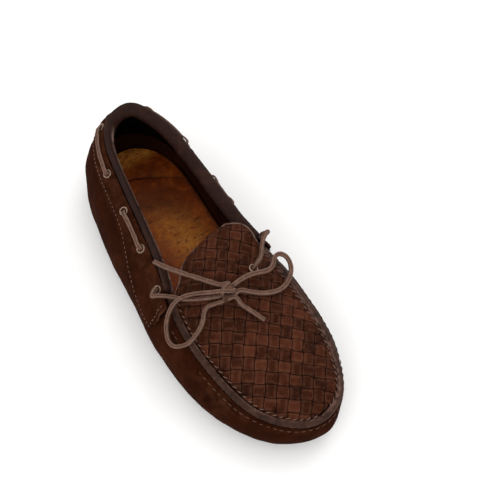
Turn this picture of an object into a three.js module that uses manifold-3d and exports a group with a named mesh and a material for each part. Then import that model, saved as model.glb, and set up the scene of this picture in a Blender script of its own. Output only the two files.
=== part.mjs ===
// A right-foot driving moccasin with a woven apron, a laced collar and a pebbled rubber sole.
// Millimetres, +Z up. The toe points to -Y, the heel to +Y, and the outer side of the foot to -X.
// The origin lies on the ground, under the middle of the shoe.
import * as THREE from "three";
import { mergeVertices } from "three/addons/utils/BufferGeometryUtils.js";
import Module from "manifold-3d";

const wasm = await Module();
wasm.setup();

// ---------------------------------------------------------------- driving dimensions
const LENGTH = 285; // the suede shell, toe to heel
const WIDTH = 112; // the suede shell, across the ball
const RIM_HEIGHT = 62.3; // the leather edge at the heel, above the ground

const GAP = 0.3; // between pieces that touch
const SHELL = 1.6; // suede of the lower
const BAND = 1.2; // suede of the collar band
const LINING = 0.9;
const COUNTER = 1.4;
const WEAVE = 2.2; // two crossed strips
const FEATHER = 8; // how far the shell tucks in below its widest line
const CROWN = 12; // rise of the apron over its two seams, at the instep

const NUB_HEIGHT = 2.4;
const NUB_RADIUS = 3.2;
const NUB_PITCH = 16;
const SOLE_SHEET = 2.1;
const BOARD = 1;
const FOOTBED = 3;
const HEEL_PAD = 2;

const LACE_WIDTH = 3.3;
const LACE_THICKNESS = 1.3;
const TUNNEL = LACE_THICKNESS + 3 * GAP; // how far the collar band stands off over the lace
const EYELET_BORE = 2.3;
const EYELET_WALL = 0.5;
const EYELET_FLANGE = 3.4;
const EYELET_RIM = 0.3;

const BINDING_WIDTH = 10.5;
const BINDING_HEIGHT = 5;
const PIPING = 4.8;

// ---------------------------------------------------------------- the last, station by station
// Stations run from the heel (0) along the outer side to the toe (10) and back along the inner side.
// widest: a point on the widest line of the wall; top: a point on its upper edge.
const REFERENCE = { length: 285, width: 112, height: 62.3 };
const STATIONS = [
  { widest: [-1, 141, 24], top: [4, 128.3, 62.3] },
  { widest: [-29.5, 130, 23], top: [-10.8, 122.7, 60.3] },
  { widest: [-45, 102.5, 19], top: [-20.2, 105.2, 57.3] },
  { widest: [-52, 67, 16], top: [-25.2, 70.6, 53.3] },
  { widest: [-55, 31, 14], top: [-29.2, 35, 50.3] },
  { widest: [-57, -3, 14], top: [-34.2, -1, 48.3] },
  { widest: [-59, -35, 14], top: [-42.4, -33.4, 45.2] },
  { widest: [-55, -72.5, 14], top: [-41.6, -68.2, 39] },
  { widest: [-42.5, -107, 15], top: [-32, -107.6, 33] },
  { widest: [-19.8, -133.5, 16], top: [-12.4, -131.2, 30] },
  { widest: [8.8, -142.2, 16], top: [9.6, -138, 29.8] },
  { widest: [31, -127.8, 16], top: [29.6, -126.4, 31.6] },
  { widest: [46.3, -98.5, 16], top: [42, -96, 34.5] },
  { widest: [50, -61, 16], top: [43, -60, 40] },
  { widest: [46, -25, 16], top: [39.6, -27, 44.4] },
  { widest: [40.5, 7, 16], top: [33.6, 0.4, 49.3] },
  { widest: [37, 40, 18], top: [31.4, 29, 50.3] },
  { widest: [38, 75, 19], top: [30.3, 63, 52.3] },
  { widest: [36, 105, 20], top: [26.4, 99.2, 56.3] },
  { widest: [23.5, 130, 22], top: [15.8, 122.9, 60.8] },
];
const COUNT = STATIONS.length;
const TOE = 10;
const PER_STATION = 4; // facets from one station to the next
const WIDEST_AT = 0.3; // share of the wall's run that lies below the widest line
const FULLNESS = 0.68; // how high the wall stays upright before it turns in

const SOLE_TOP = NUB_HEIGHT + SOLE_SHEET;
const SHELL_BOTTOM = SOLE_TOP + GAP;
const SCALE = new THREE.Vector3(
  LENGTH / REFERENCE.length,
  WIDTH / REFERENCE.width,
  RIM_HEIGHT / REFERENCE.height,
);

function place([x, y, z]) {
  return new THREE.Vector3(x * SCALE.y, y * SCALE.x, z * SCALE.z);
}

function closedCurve(key) {
  const points = STATIONS.map((station) => place(station[key]));
  return new THREE.CatmullRomCurve3(points, true, "catmullrom", 0.5);
}

const widestLine = closedCurve("widest");
const topLine = closedCurve("top");

function onLoop(curve, station) {
  return curve.getPoint((((station / COUNT) % 1) + 1) % 1);
}

// The direction out of the shoe in plan, at a station of the widest line.
function planNormal(station) {
  const step = 0.02;
  const along = onLoop(widestLine, station + step).sub(onLoop(widestLine, station - step));
  return new THREE.Vector3(-along.y, along.x, 0).normalize().negate();
}

// A point of the shell's outer face: height runs from 0 at the sole's edge to 1 at the upper edge.
function shellPoint(station, height) {
  const widest = onLoop(widestLine, station);
  if (height < WIDEST_AT) {
    const turn = ((height / WIDEST_AT) * Math.PI) / 2;
    const tucked = FEATHER * (1 - Math.sin(turn));
    const point = widest.clone().addScaledVector(planNormal(station), -tucked);
    point.z = SHELL_BOTTOM + (widest.z - SHELL_BOTTOM) * (1 - Math.cos(turn));
    return point;
  }
  const top = onLoop(topLine, station);
  const knee = widest.clone();
  knee.z += FULLNESS * (top.z - widest.z);
  const curve = new THREE.QuadraticBezierCurve3(widest, knee, top);
  return curve.getPoint((height - WIDEST_AT) / (1 - WIDEST_AT));
}

// The wall's own directions at a place: along the shoe, up the wall and out of it.
function shellFrame(station, height) {
  const step = 0.01;
  const low = Math.max(0, height - step);
  const high = Math.min(1, height + step);
  const up = shellPoint(station, high).sub(shellPoint(station, low)).normalize();
  const along = shellPoint(station + step, height).sub(shellPoint(station - step, height));
  const out = new THREE.Vector3().crossVectors(along, up).normalize();
  return { up, along, out };
}

// A point that stands off from the shell's outer face. A negative offset lies inside the wall.
function wall(station, height, offset) {
  const { out } = shellFrame(station, height);
  return shellPoint(station, height).addScaledVector(out, offset);
}

// ---------------------------------------------------------------- solid builders
const parts = new THREE.Group();

function addPart(name, geometry, material) {
  const mesh = new THREE.Mesh(geometry, material);
  mesh.name = name;
  parts.add(mesh);
  return mesh;
}

function solidOf(geometry) {
  const bare = (geometry.index ? geometry.toNonIndexed() : geometry.clone());
  bare.deleteAttribute("normal");
  bare.deleteAttribute("uv");
  const merged = mergeVertices(bare, 1e-3);
  const vertProperties = merged.attributes.position.array;
  const triVerts = new Uint32Array(merged.index.array);
  return new wasm.Manifold(new wasm.Mesh({ numProp: 3, vertProperties, triVerts }));
}

function geometryOf(solid) {
  const mesh = solid.getMesh();
  const geometry = new THREE.BufferGeometry();
  geometry.setAttribute("position", new THREE.BufferAttribute(mesh.vertProperties, 3));
  geometry.setIndex(new THREE.BufferAttribute(mesh.triVerts, 1));
  return geometry;
}

// Triangles over a list of points, turned so that the solid faces out.
function meshOf(points, faces) {
  let volume = 0;
  for (const [a, b, c] of faces) {
    volume += points[a].dot(new THREE.Vector3().crossVectors(points[b], points[c]));
  }
  const turned = volume < 0 ? faces.map(([a, b, c]) => [a, c, b]) : faces;
  const geometry = new THREE.BufferGeometry().setFromPoints(points);
  geometry.setIndex(turned.flat());
  return geometry;
}

// Closed rings of the same count, joined one to the next, with both ends capped.
function ringSolid(rings) {
  const count = rings[0].length;
  const points = rings.flat();
  const faces = [];
  for (let ring = 0; ring + 1 < rings.length; ring++) {
    for (let i = 0; i < count; i++) {
      const a = ring * count + i;
      const b = ring * count + ((i + 1) % count);
      faces.push([a, b, b + count], [a, b + count, a + count]);
    }
  }
  for (const [ring, flip] of [[0, true], [rings.length - 1, false]]) {
    const middle = new THREE.Vector3();
    rings[ring].forEach((point) => middle.addScaledVector(point, 1 / count));
    points.push(middle);
    for (let i = 0; i < count; i++) {
      const a = ring * count + i;
      const b = ring * count + ((i + 1) % count);
      faces.push(flip ? [points.length - 1, b, a] : [points.length - 1, a, b]);
    }
  }
  return meshOf(points, faces);
}

// A sheet between two grids of points, closed round its four sides.
function slab(outer, inner) {
  const rings = outer.map((row, i) => [...row, ...[...inner[i]].reverse()]);
  const count = rings[0].length;
  const half = count / 2;
  const points = rings.flat();
  const faces = [];
  for (let ring = 0; ring + 1 < rings.length; ring++) {
    for (let i = 0; i < count; i++) {
      const a = ring * count + i;
      const b = ring * count + ((i + 1) % count);
      faces.push([a, b, b + count], [a, b + count, a + count]);
    }
  }
  for (const [ring, flip] of [[0, true], [rings.length - 1, false]]) {
    for (let i = 0; i + 1 < half; i++) {
      const a = ring * count + i;
      const b = a + 1;
      const c = ring * count + (count - 2 - i);
      const d = c + 1;
      const pair = [[a, b, c], [a, c, d]];
      faces.push(...(flip ? pair.map(([p, q, r]) => [p, r, q]) : pair));
    }
  }
  return meshOf(points, faces);
}

function range(from, to, steps) {
  return Array.from({ length: steps + 1 }, (_, i) => from + ((to - from) * i) / steps);
}

function smooth(x) {
  const t = Math.min(1, Math.max(0, x));
  return t * t * (3 - 2 * t);
}

// Every layer of the wall is cut at the same stations, so that its facets lie in step.
function stationsBetween(from, to) {
  const [low, high] = from < to ? [from, to] : [to, from];
  const first = Math.floor(low * PER_STATION) + 1;
  const last = Math.ceil(high * PER_STATION) - 1;
  const between = range(first, last, last - first).map((i) => i / PER_STATION);
  return [low, ...between, high];
}

// A piece of wall covering: stations from..to, from a lower edge to an upper edge.
function wallPatch({ from, to, rows, lower, upper, inside, thickness }) {
  const grid = (extra) =>
    stationsBetween(from, to).map((station) =>
      range(0, 1, rows).map((share) => {
        const low = lower(station);
        const height = low + (upper - low) * share;
        return wall(station, height, inside(height) + extra);
      }),
    );
  return slab(grid(thickness), grid(0));
}

// A flat or round strap along a path of points, each with the direction of its thickness.
function strap(path, width, thickness, sides) {
  const rings = path.map(({ point, out }, i) => {
    const before = path[Math.max(0, i - 1)].point;
    const after = path[Math.min(path.length - 1, i + 1)].point;
    const along = after.clone().sub(before).normalize();
    const across = new THREE.Vector3().crossVectors(along, out).normalize();
    const through = new THREE.Vector3().crossVectors(across, along).normalize();
    return range(0, 2 * Math.PI, sides).slice(0, -1).map((turn) =>
      point.clone()
        .addScaledVector(across, (Math.cos(turn) * width) / 2)
        .addScaledVector(through, (Math.sin(turn) * thickness) / 2));
  });
  return ringSolid(rings);
}

// A round cord through a list of points.
function cord(points, diameter, step) {
  const curve = new THREE.CatmullRomCurve3(points, false, "centripetal");
  const sides = 8;
  const outline = range(0, 2 * Math.PI, sides).slice(0, -1).map((turn) =>
    new THREE.Vector2(Math.cos(turn), Math.sin(turn)).multiplyScalar(diameter / 2));
  return new THREE.ExtrudeGeometry(new THREE.Shape(outline), {
    steps: Math.max(3, Math.round(curve.getLength() / step)),
    extrudePath: curve,
    bevelEnabled: false,
  });
}

// ---------------------------------------------------------------- materials
function material(color, roughness, metalness = 0) {
  return new THREE.MeshStandardMaterial({ color, roughness, metalness });
}

const suede = material(0x2f1a10, 0.95);
const collarSuede = material(0x3a2016, 0.9);
const rimLeather = material(0x47302c, 0.6);
const wovenLeather = material(0x4a2216, 0.6);
const liningLeather = material(0x1c1210, 0.8);
const insoleLeather = material(0x7a4517, 0.6);
const boardFibre = material(0x9a7a55, 0.9);
const counterFibre = material(0x8d7350, 0.9);
const rubber = material(0x2a1a12, 0.8);
const thong = material(0x6e5041, 0.8);
const eyeletMetal = material(0x5b4338, 0.4, 0.6);

// ---------------------------------------------------------------- the suede lower
function shellRings(offset, heights) {
  return heights.map((height) =>
    range(0, COUNT, PER_STATION * COUNT).slice(0, -1).map((station) => wall(station, height, offset)));
}

const shellHeights = [0, 0.15, 0.3, 0.38, 0.5, 0.66, 0.84, 1];
addPart(
  "moccasin_lower",
  ringSolid([...shellRings(0, shellHeights), ...shellRings(-SHELL, [...shellHeights].reverse())]),
  suede,
);

// ---------------------------------------------------------------- the collar band and its lace tunnel
const LACE_HEIGHT = 0.935; // height on the wall of the lace and its eyelets
const TUNNEL_FLAT = 0.05; // half of the tunnel's flat crest, as a share of the wall
const TUNNEL_REACH = 0.135; // from the tunnel's middle to where the band lies flat
const STRAP_HALF = 0.48; // half of the heel strap, in stations
const BAND_START = 0.51;
const BAND_END = 5.75;
const EYELETS = [1.0, 2.5, 3.4, 4.3]; // ends of the two runs of lace that show on each side
const ROUND_SIDES = 8; // facets round an eyelet and its hole
const QUARTER_EYELET = { lateral: 5.25, medial: 5.4 };
const SIDES = [["lateral", 1], ["medial", -1]];

// How far the band stands off the shell. It bulges over the lace and lies flat at its edges.
function bandInside(height) {
  const away = Math.abs(height - LACE_HEIGHT) - TUNNEL_FLAT;
  return GAP + TUNNEL * (1 - smooth(away / (TUNNEL_REACH - TUNNEL_FLAT)));
}

// The band's lower edge drops towards the front, and its front corner is rounded.
function bandLower(station) {
  const from = Math.abs(station);
  const drop = 0.8 - 0.29 * smooth((from - 3.2) / 2.1);
  const corner = smooth((from - 5.35) / (BAND_END - 5.35));
  return drop + 0.2 * corner * corner;
}

function eyeletSeat(station) {
  const { out } = shellFrame(station, LACE_HEIGHT);
  const middle = wall(station, LACE_HEIGHT, bandInside(LACE_HEIGHT) + BAND / 2);
  return { middle, out };
}

function alignedTo(geometry, middle, out) {
  const turn = new THREE.Quaternion().setFromUnitVectors(new THREE.Vector3(0, 1, 0), out);
  const move = new THREE.Matrix4().compose(middle, turn, new THREE.Vector3(1, 1, 1));
  return geometry.applyMatrix4(move);
}

// A flanged ring whose barrel passes through a sheet of the given thickness.
function eyelet(sheet) {
  const inner = sheet / 2 + GAP;
  const outer = inner + EYELET_RIM;
  const barrel = EYELET_BORE + EYELET_WALL;
  const profile = [
    [EYELET_BORE, -outer],
    [EYELET_FLANGE, -outer],
    [EYELET_FLANGE, -inner],
    [barrel, -inner],
    [barrel, inner],
    [EYELET_FLANGE, inner],
    [EYELET_FLANGE, outer],
    [EYELET_BORE, outer],
    [EYELET_BORE, -outer],
  ].map(([radius, height]) => new THREE.Vector2(radius, height));
  return new THREE.LatheGeometry(profile, ROUND_SIDES);
}

// Cuts a round tool of a given length out of a sheet, its middle standing off by a distance.
function drill(solid, middle, out, radius, length, away) {
  const tool = new THREE.CylinderGeometry(radius, radius, length, ROUND_SIDES);
  const seat = middle.clone().addScaledVector(out, away);
  return solid.subtract(solidOf(alignedTo(tool, seat, out)));
}

// The hole for an eyelet, with the sheet pressed flat under both flanges.
function punch(solid, middle, out, sheet) {
  const reach = 2 * EYELET_FLANGE;
  const press = EYELET_FLANGE + GAP;
  const flat = drill(solid, middle, out, press, reach, (sheet + reach) / 2);
  const both = drill(flat, middle, out, press, reach, -(sheet + reach) / 2);
  return drill(both, middle, out, EYELET_BORE + EYELET_WALL + GAP, 2 * reach, 0);
}

for (const [side, sign] of SIDES) {
  const stations = [...EYELETS, QUARTER_EYELET[side]];
  const band = wallPatch({
    from: sign * BAND_START,
    to: sign * BAND_END,
    rows: 7,
    lower: bandLower,
    upper: 1,
    inside: bandInside,
    thickness: BAND,
  });
  let solid = solidOf(band);
  stations.forEach((station, i) => {
    const { middle, out } = eyeletSeat(sign * station);
    solid = punch(solid, middle, out, BAND);
    const name = `eyelet_${side}_${i + 1}`;
    addPart(name, alignedTo(eyelet(BAND), middle, out), eyeletMetal);
  });
  addPart(`collar_band_${side}`, geometryOf(solid), collarSuede);
}

addPart(
  "heel_strap",
  wallPatch({
    from: -STRAP_HALF,
    to: STRAP_HALF,
    rows: 8,
    lower: () => 0.6,
    upper: 1,
    inside: bandInside,
    thickness: BAND,
  }),
  collarSuede,
);

// ---------------------------------------------------------------- linings and heel stiffener
const COUNTER_END = 3.2;
const LINING_BOTTOM = 0.36;
const LINING_TOP = 0.98;

addPart(
  "heel_counter",
  wallPatch({
    from: -COUNTER_END,
    to: COUNTER_END,
    rows: 3,
    lower: () => LINING_BOTTOM,
    upper: 0.85,
    inside: () => -SHELL - GAP - COUNTER,
    thickness: COUNTER,
  }),
  counterFibre,
);
addPart(
  "heel_lining",
  wallPatch({
    from: -COUNTER_END,
    to: COUNTER_END,
    rows: 4,
    lower: () => LINING_BOTTOM,
    upper: LINING_TOP,
    inside: () => -SHELL - 2 * GAP - COUNTER - LINING,
    thickness: LINING,
  }),
  liningLeather,
);
for (const [side, sign] of SIDES) {
  addPart(
    `quarter_lining_${side}`,
    wallPatch({
      from: sign * (COUNTER_END + 0.03),
      to: sign * 5.5,
      rows: 4,
      lower: () => LINING_BOTTOM,
      upper: LINING_TOP,
      inside: () => -SHELL - GAP - LINING,
      thickness: LINING,
    }),
    liningLeather,
  );
}

// ---------------------------------------------------------------- rolled edges
const BINDING_END = { lateral: 5.45, medial: -5.45 };
const BINDING_OUT = 0.4; // from the shell's face to the middle of the binding
const PIPING_END = { lateral: 5.5, medial: 14.35 };

// A roll that sits on the upper edge of the wall.
function edgeRoll(from, to, width, height, offset) {
  const path = stationsBetween(from, to).map((station) => {
    const { along, out } = shellFrame(station, 1);
    const rise = new THREE.Vector3().crossVectors(out, along).normalize();
    const point = wall(station, 1, offset).addScaledVector(rise, GAP + height / 2);
    return { point, out };
  });
  return strap(path, height, width, 8);
}

addPart(
  "collar_binding",
  edgeRoll(BINDING_END.medial, BINDING_END.lateral, BINDING_WIDTH, BINDING_HEIGHT, BINDING_OUT),
  rimLeather,
);
addPart(
  "apron_piping",
  edgeRoll(PIPING_END.lateral, PIPING_END.medial, PIPING, PIPING, -0.6),
  rimLeather,
);

// ---------------------------------------------------------------- woven apron and tongue
const APRON_CLEAR = 1.1; // from the piping to the apron
const APRON_END = { lateral: 5.6, medial: 14.15 };
const TONGUE_TIP = 2.5; // how far back the tongue reaches
const HINGE_Y = -12; // the tongue lifts about this line
const TONGUE_SPLIT = 0.42; // half of the gap between the apron and the tongue
const TONGUE_WAIST = 0.15; // how much the tongue narrows past the collar
const TONGUE_LEAN = 8; // towards the inner side, at the tip
const TONGUE_LIFT = 9; // of its inner edge, which lies over the collar
const TONGUE_RISE = 4; // of its tip over the instep

// Where the apron meets the piping.
function apronEdge(station) {
  const { up, out } = shellFrame(station, 1);
  return shellPoint(station, 1)
    .addScaledVector(up, APRON_CLEAR + PIPING)
    .addScaledVector(out, -1);
}

// The apron's top face: share runs from the toe (0) to the instep (1), across from -1 to 1.
function apronPoint(share, across) {
  const outer = apronEdge(TOE + (APRON_END.lateral - TOE) * share);
  const inner = apronEdge(TOE + (APRON_END.medial - TOE) * share);
  const point = outer.lerp(inner, (across + 1) / 2);
  const rise = CROWN * Math.sin((Math.min(1, share) * Math.PI) / 2);
  point.z += rise * (1 - across * across);
  return point;
}

// The tongue's top face carries the apron on, arches over the instep and narrows to a round tip.
function tonguePoint(share, across) {
  const start = apronPoint(1, across);
  const middle = apronPoint(1, 0);
  const tip = TONGUE_TIP * SCALE.x;
  const waist = 1 - TONGUE_WAIST * smooth(share * 2.5);
  const round = Math.cbrt(1 - Math.min(1, share ** 3));
  const arch = across < 0 ? share : TONGUE_LIFT * smooth(share * 2.2);
  return new THREE.Vector3(
    middle.x + (start.x - middle.x) * waist * round + TONGUE_LEAN * share,
    start.y + (tip - start.y) * share,
    start.z + TONGUE_RISE * share + across * across * (arch + TONGUE_RISE * (1 - round)),
  );
}

// The whole woven face: 0 at the toe, 1 at the instep, 2 at the tip of the tongue.
function vampPoint(share, across) {
  return share <= 1 ? apronPoint(share, across) : tonguePoint(share - 1, across);
}

function vampAt(share, across, depth) {
  const step = 0.01;
  const along = vampPoint(share + step, across).sub(vampPoint(share - step, across));
  const inner = vampPoint(share, Math.min(1, across + step));
  const over = inner.sub(vampPoint(share, Math.max(-1, across - step)));
  const out = new THREE.Vector3().crossVectors(over, along).normalize();
  if (out.z < 0) out.negate();
  return vampPoint(share, across).addScaledVector(out, -depth);
}

function vampSheet(from, to, rows, columns, depth, thickness, edge) {
  const grid = (deep) =>
    range(from, to, rows).map((share) =>
      range(-edge, edge, columns).map((across) => vampAt(share, across, deep)));
  return slab(grid(depth), grid(depth + thickness));
}

// The share at which the tongue's middle line passes a given place along the shoe.
function shareAt(y) {
  const start = apronPoint(1, 0).y;
  return 1 + (y * SCALE.x - start) / (TONGUE_TIP * SCALE.x - start);
}

const APRON_FROM = 0.06;
const TONGUE_TO = 1.97;
const LINING_EDGE = 0.86; // the vamp lining stops short of the seams
const HINGE_SHARE = shareAt(HINGE_Y);
const SPLIT = shareAt(HINGE_Y + TONGUE_SPLIT) - HINGE_SHARE;

// Where the lace goes down through the woven apron, and where it comes up again under the bow.
const APRON_EYELET = { share: 0.92, across: 0.53 };
const LACE_SLIT = { share: 0.88, across: -0.12 };

function vampSeat({ share, across }, depth) {
  const middle = vampAt(share, across, depth);
  const out = vampAt(share, across, 0).sub(vampAt(share, across, 1));
  return { middle, out };
}

const POCKET_DEPTH = LACE_THICKNESS + EYELET_RIM + 2 * GAP;
const POCKET_LENGTH = 12; // how quickly the pocket for the lace closes, along the shoe
const POCKET_WIDTH = 3.4; // and across it

// The lining sags under the lace between its two holes.
function liningDepth(share, across) {
  const from = new THREE.Vector2(LACE_SLIT.share, LACE_SLIT.across);
  const to = new THREE.Vector2(APRON_EYELET.share, APRON_EYELET.across);
  const run = to.clone().sub(from);
  const here = new THREE.Vector2(share, across).sub(from);
  const along = Math.min(1, Math.max(0, here.dot(run) / run.lengthSq()));
  const away = here.sub(run.multiplyScalar(along));
  const distance = Math.hypot(away.x * POCKET_LENGTH, away.y * POCKET_WIDTH);
  return WEAVE + GAP + POCKET_DEPTH * (1 - smooth(distance - 0.6));
}

function liningSheet(from, to, rows) {
  const grid = (extra) =>
    range(from, to, rows).map((share) =>
      range(-LINING_EDGE, LINING_EDGE, 10).map((across) =>
        vampAt(share, across, liningDepth(share, across) + extra)));
  return slab(grid(0), grid(LINING));
}

let apron = solidOf(vampSheet(APRON_FROM, HINGE_SHARE - SPLIT, 16, 10, 0, WEAVE, 1));
const apronSeat = vampSeat(APRON_EYELET, WEAVE / 2);
apron = punch(apron, apronSeat.middle, apronSeat.out, WEAVE);
const slit = vampSeat(LACE_SLIT, WEAVE / 2);
apron = drill(apron, slit.middle, slit.out, EYELET_BORE, 4 * WEAVE, 0);
addPart("apron_weave", geometryOf(apron), wovenLeather);
addPart("eyelet_apron", alignedTo(eyelet(WEAVE), apronSeat.middle, apronSeat.out), eyeletMetal);
addPart("apron_lining", liningSheet(0.3, HINGE_SHARE - SPLIT, 12), liningLeather);
const tongueFrom = HINGE_SHARE + SPLIT;
addPart("tongue_weave", vampSheet(tongueFrom, TONGUE_TO, 8, 10, 0, WEAVE, 1), wovenLeather);
addPart("tongue_lining", liningSheet(tongueFrom, TONGUE_TO - 0.02, 8), liningLeather);

// ---------------------------------------------------------------- bottom: sole pads, board, footbed
const FOREFOOT_FROM = 4.9; // stations at which the forefoot pad starts and ends
const FOREFOOT_TO = 15.1;
const HEEL_REACH = 2.4; // stations that the heel pad covers on each side
const SOLE_INSET = 1.5;
const BOARD_INSET = 9; // from the shell's widest line
const FOOTBED_INSET = SHELL + 5;
const HEEL_PAD_INSET = 8;
const HEEL_PAD_REACH = 2.2;
const NUB_TAPER = 0.7;

// An outline in plan, a distance inside the widest line, closed straight across its open ends.
function planOutline(from, to, inset) {
  const stations = stationsBetween(from, to);
  return stations.map((station) => {
    const point = onLoop(widestLine, station).addScaledVector(planNormal(station), -inset);
    return new THREE.Vector2(point.x, point.y);
  });
}

function plate(outline, bottom, thickness) {
  const options = { depth: thickness, bevelEnabled: false };
  const geometry = new THREE.ExtrudeGeometry(new THREE.Shape(outline), options);
  return geometry.translate(0, 0, bottom);
}

function insideBy(outline, x, y, margin) {
  let inside = false;
  for (let i = 0, j = outline.length - 1; i < outline.length; j = i++) {
    const a = outline[i];
    const b = outline[j];
    const crosses = a.y > y !== b.y > y;
    if (crosses && x < ((b.x - a.x) * (y - a.y)) / (b.y - a.y) + a.x) {
      inside = !inside;
    }
    const run = b.clone().sub(a);
    const share = ((x - a.x) * run.x + (y - a.y) * run.y) / run.lengthSq();
    const near = a.clone().addScaledVector(run, Math.min(1, Math.max(0, share)));
    if (Math.hypot(near.x - x, near.y - y) < margin) return false;
  }
  return inside;
}

// Places on a staggered pattern that lie inside an outline.
function nubPlaces(outline) {
  const places = [];
  const rowPitch = (NUB_PITCH * Math.sqrt(3)) / 2;
  for (let row = -20; row <= 20; row++) {
    for (let column = -8; column <= 8; column++) {
      const x = (column + (row % 2 ? 0.5 : 0)) * NUB_PITCH;
      const y = row * rowPitch;
      if (insideBy(outline, x, y, NUB_RADIUS + 1)) places.push([x, y]);
    }
  }
  return places;
}

function solePad(outline) {
  let solid = solidOf(plate(outline, NUB_HEIGHT, SOLE_SHEET));
  const root = SOLE_SHEET / 2;
  for (const [x, y] of nubPlaces(outline)) {
    const length = NUB_HEIGHT + root;
    const nub = new THREE.CylinderGeometry(NUB_RADIUS, NUB_TAPER * NUB_RADIUS, length, 6);
    nub.rotateX(Math.PI / 2).translate(x, y, length / 2);
    solid = solid.add(solidOf(nub));
  }
  return geometryOf(solid);
}

const soleInset = FEATHER + SOLE_INSET;
addPart("sole_forefoot", solePad(planOutline(FOREFOOT_FROM, FOREFOOT_TO, soleInset)), rubber);
addPart("sole_heel", solePad(planOutline(-HEEL_REACH, HEEL_REACH, soleInset)), rubber);

const boardBottom = SHELL_BOTTOM + SHELL + GAP;
const footbedBottom = boardBottom + BOARD + GAP;
const heelPadBottom = footbedBottom + FOOTBED + GAP;
const allRound = [0, COUNT - 1 / PER_STATION];
addPart("insole_board", plate(planOutline(...allRound, BOARD_INSET), boardBottom, BOARD), boardFibre);
addPart(
  "footbed",
  plate(planOutline(...allRound, FOOTBED_INSET), footbedBottom, FOOTBED),
  insoleLeather,
);
addPart(
  "heel_pad",
  plate(planOutline(-HEEL_PAD_REACH, HEEL_PAD_REACH, HEEL_PAD_INSET), heelPadBottom, HEEL_PAD),
  insoleLeather,
);

// Rubber that climbs the back of the heel, with a row of nubs on it.
const RISE_HALF = 0.32; // half of its width, in stations
const RISE_FROM = 0.14; // its two ends, as heights on the wall
const RISE_TO = 0.55;
const RISE_SHEET = 1.4;
const RISE_NUBS = [0.2, 0.29, 0.38, 0.47];
let rise = solidOf(
  wallPatch({
    from: -RISE_HALF,
    to: RISE_HALF,
    rows: 6,
    lower: () => RISE_FROM,
    upper: RISE_TO,
    inside: () => GAP,
    thickness: RISE_SHEET,
  }),
);
for (const height of RISE_NUBS) {
  for (const side of [-1, 1]) {
    const station = (side * RISE_HALF) / 2;
    const { out } = shellFrame(station, height);
    const nub = new THREE.CylinderGeometry(NUB_TAPER * NUB_RADIUS, NUB_RADIUS, NUB_HEIGHT, 6);
    const middle = wall(station, height, GAP + RISE_SHEET - 0.5 + NUB_HEIGHT / 2);
    rise = rise.add(solidOf(alignedTo(nub, middle, out)));
  }
}
addPart("heel_rise", geometryOf(rise), rubber);

// ---------------------------------------------------------------- lace
const LACE_ON_SHELL = GAP + LACE_THICKNESS / 2;
const BAND_FACE = GAP + TUNNEL + BAND;
const LACE_ON_BAND = BAND_FACE + GAP + LACE_THICKNESS / 2;
const LACE_ON_EYELET = LACE_ON_BAND + EYELET_RIM + GAP;

// How many stations a distance along the lace's line takes up.
function stationsFor(station, distance) {
  const step = 0.05;
  const run = shellPoint(station + step, LACE_HEIGHT).distanceTo(shellPoint(station, LACE_HEIGHT));
  return (distance * step) / run;
}

// The lace goes steeply through an eyelet. Turn is 1 where it comes out as stations rise, else -1.
function throughEyelet(station, turn) {
  const middle = BAND_FACE - BAND / 2;
  const steps = [
    [-4.5, LACE_ON_SHELL],
    [-1.5, LACE_ON_SHELL + 0.5],
    [0, middle],
    [1.5, LACE_ON_EYELET - 0.2],
    [4.5, LACE_ON_EYELET],
  ];
  const points = steps.map(([distance, offset]) => ({
    station: station + turn * stationsFor(station, distance),
    offset,
  }));
  return turn > 0 ? points : points.reverse();
}

// The flat lace in the collar, from the outer quarter eyelet round the heel to the inner one.
function collarLace() {
  const last = QUARTER_EYELET.lateral;
  const first = -QUARTER_EYELET.medial;
  const passes = [
    ...[...EYELETS].reverse().map((station, i) => [-station, i % 2 ? -1 : 1]),
    ...EYELETS.map((station, i) => [station, i % 2 ? -1 : 1]),
  ];
  const stops = passes.flatMap(([station, turn]) => throughEyelet(station, turn));
  const inner = throughEyelet(first, -1).slice(2);
  const outer = throughEyelet(last, 1).slice(0, 3);
  const knots = [...inner, ...stops, ...outer];
  const route = [];
  knots.forEach((knot, i) => {
    route.push(knot);
    const next = knots[i + 1];
    if (!next || next.station - knot.station < 1.5 / PER_STATION) return;
    const offset = knot.offset > BAND_FACE ? LACE_ON_BAND : LACE_ON_SHELL;
    const between = stationsBetween(knot.station, next.station).slice(1, -1);
    route.push(...between.map((station) => ({ station, offset })));
  });
  const path = route.map(({ station, offset }) => ({
    point: wall(station, LACE_HEIGHT, offset),
    out: shellFrame(station, LACE_HEIGHT).out,
  }));
  return strap(path, LACE_WIDTH, LACE_THICKNESS, 8);
}

addPart("lace_collar", collarLace(), thong);

// The lace under the apron, from the eyelet to the slit below the bow.
function underApronLace() {
  const depth = WEAVE + GAP + EYELET_RIM + GAP + LACE_THICKNESS / 2;
  const shareOf = (t) => APRON_EYELET.share + (LACE_SLIT.share - APRON_EYELET.share) * t;
  const acrossOf = (t) => APRON_EYELET.across + (LACE_SLIT.across - APRON_EYELET.across) * t;
  const stops = [
    [0, WEAVE / 2],
    [0.04, WEAVE + 2 * GAP],
    [0.1, depth],
    [0.5, depth],
    [0.9, depth],
    [0.96, WEAVE + 2 * GAP],
    [1, 0.4],
  ];
  const path = stops.map(([t, deep]) => ({
    point: vampAt(shareOf(t), acrossOf(t), deep),
    out: vampSeat({ share: shareOf(t), across: acrossOf(t) }, 0).out,
  }));
  return strap(path, LACE_WIDTH, LACE_THICKNESS, 8);
}

addPart("lace_under_apron", underApronLace(), thong);

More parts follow.
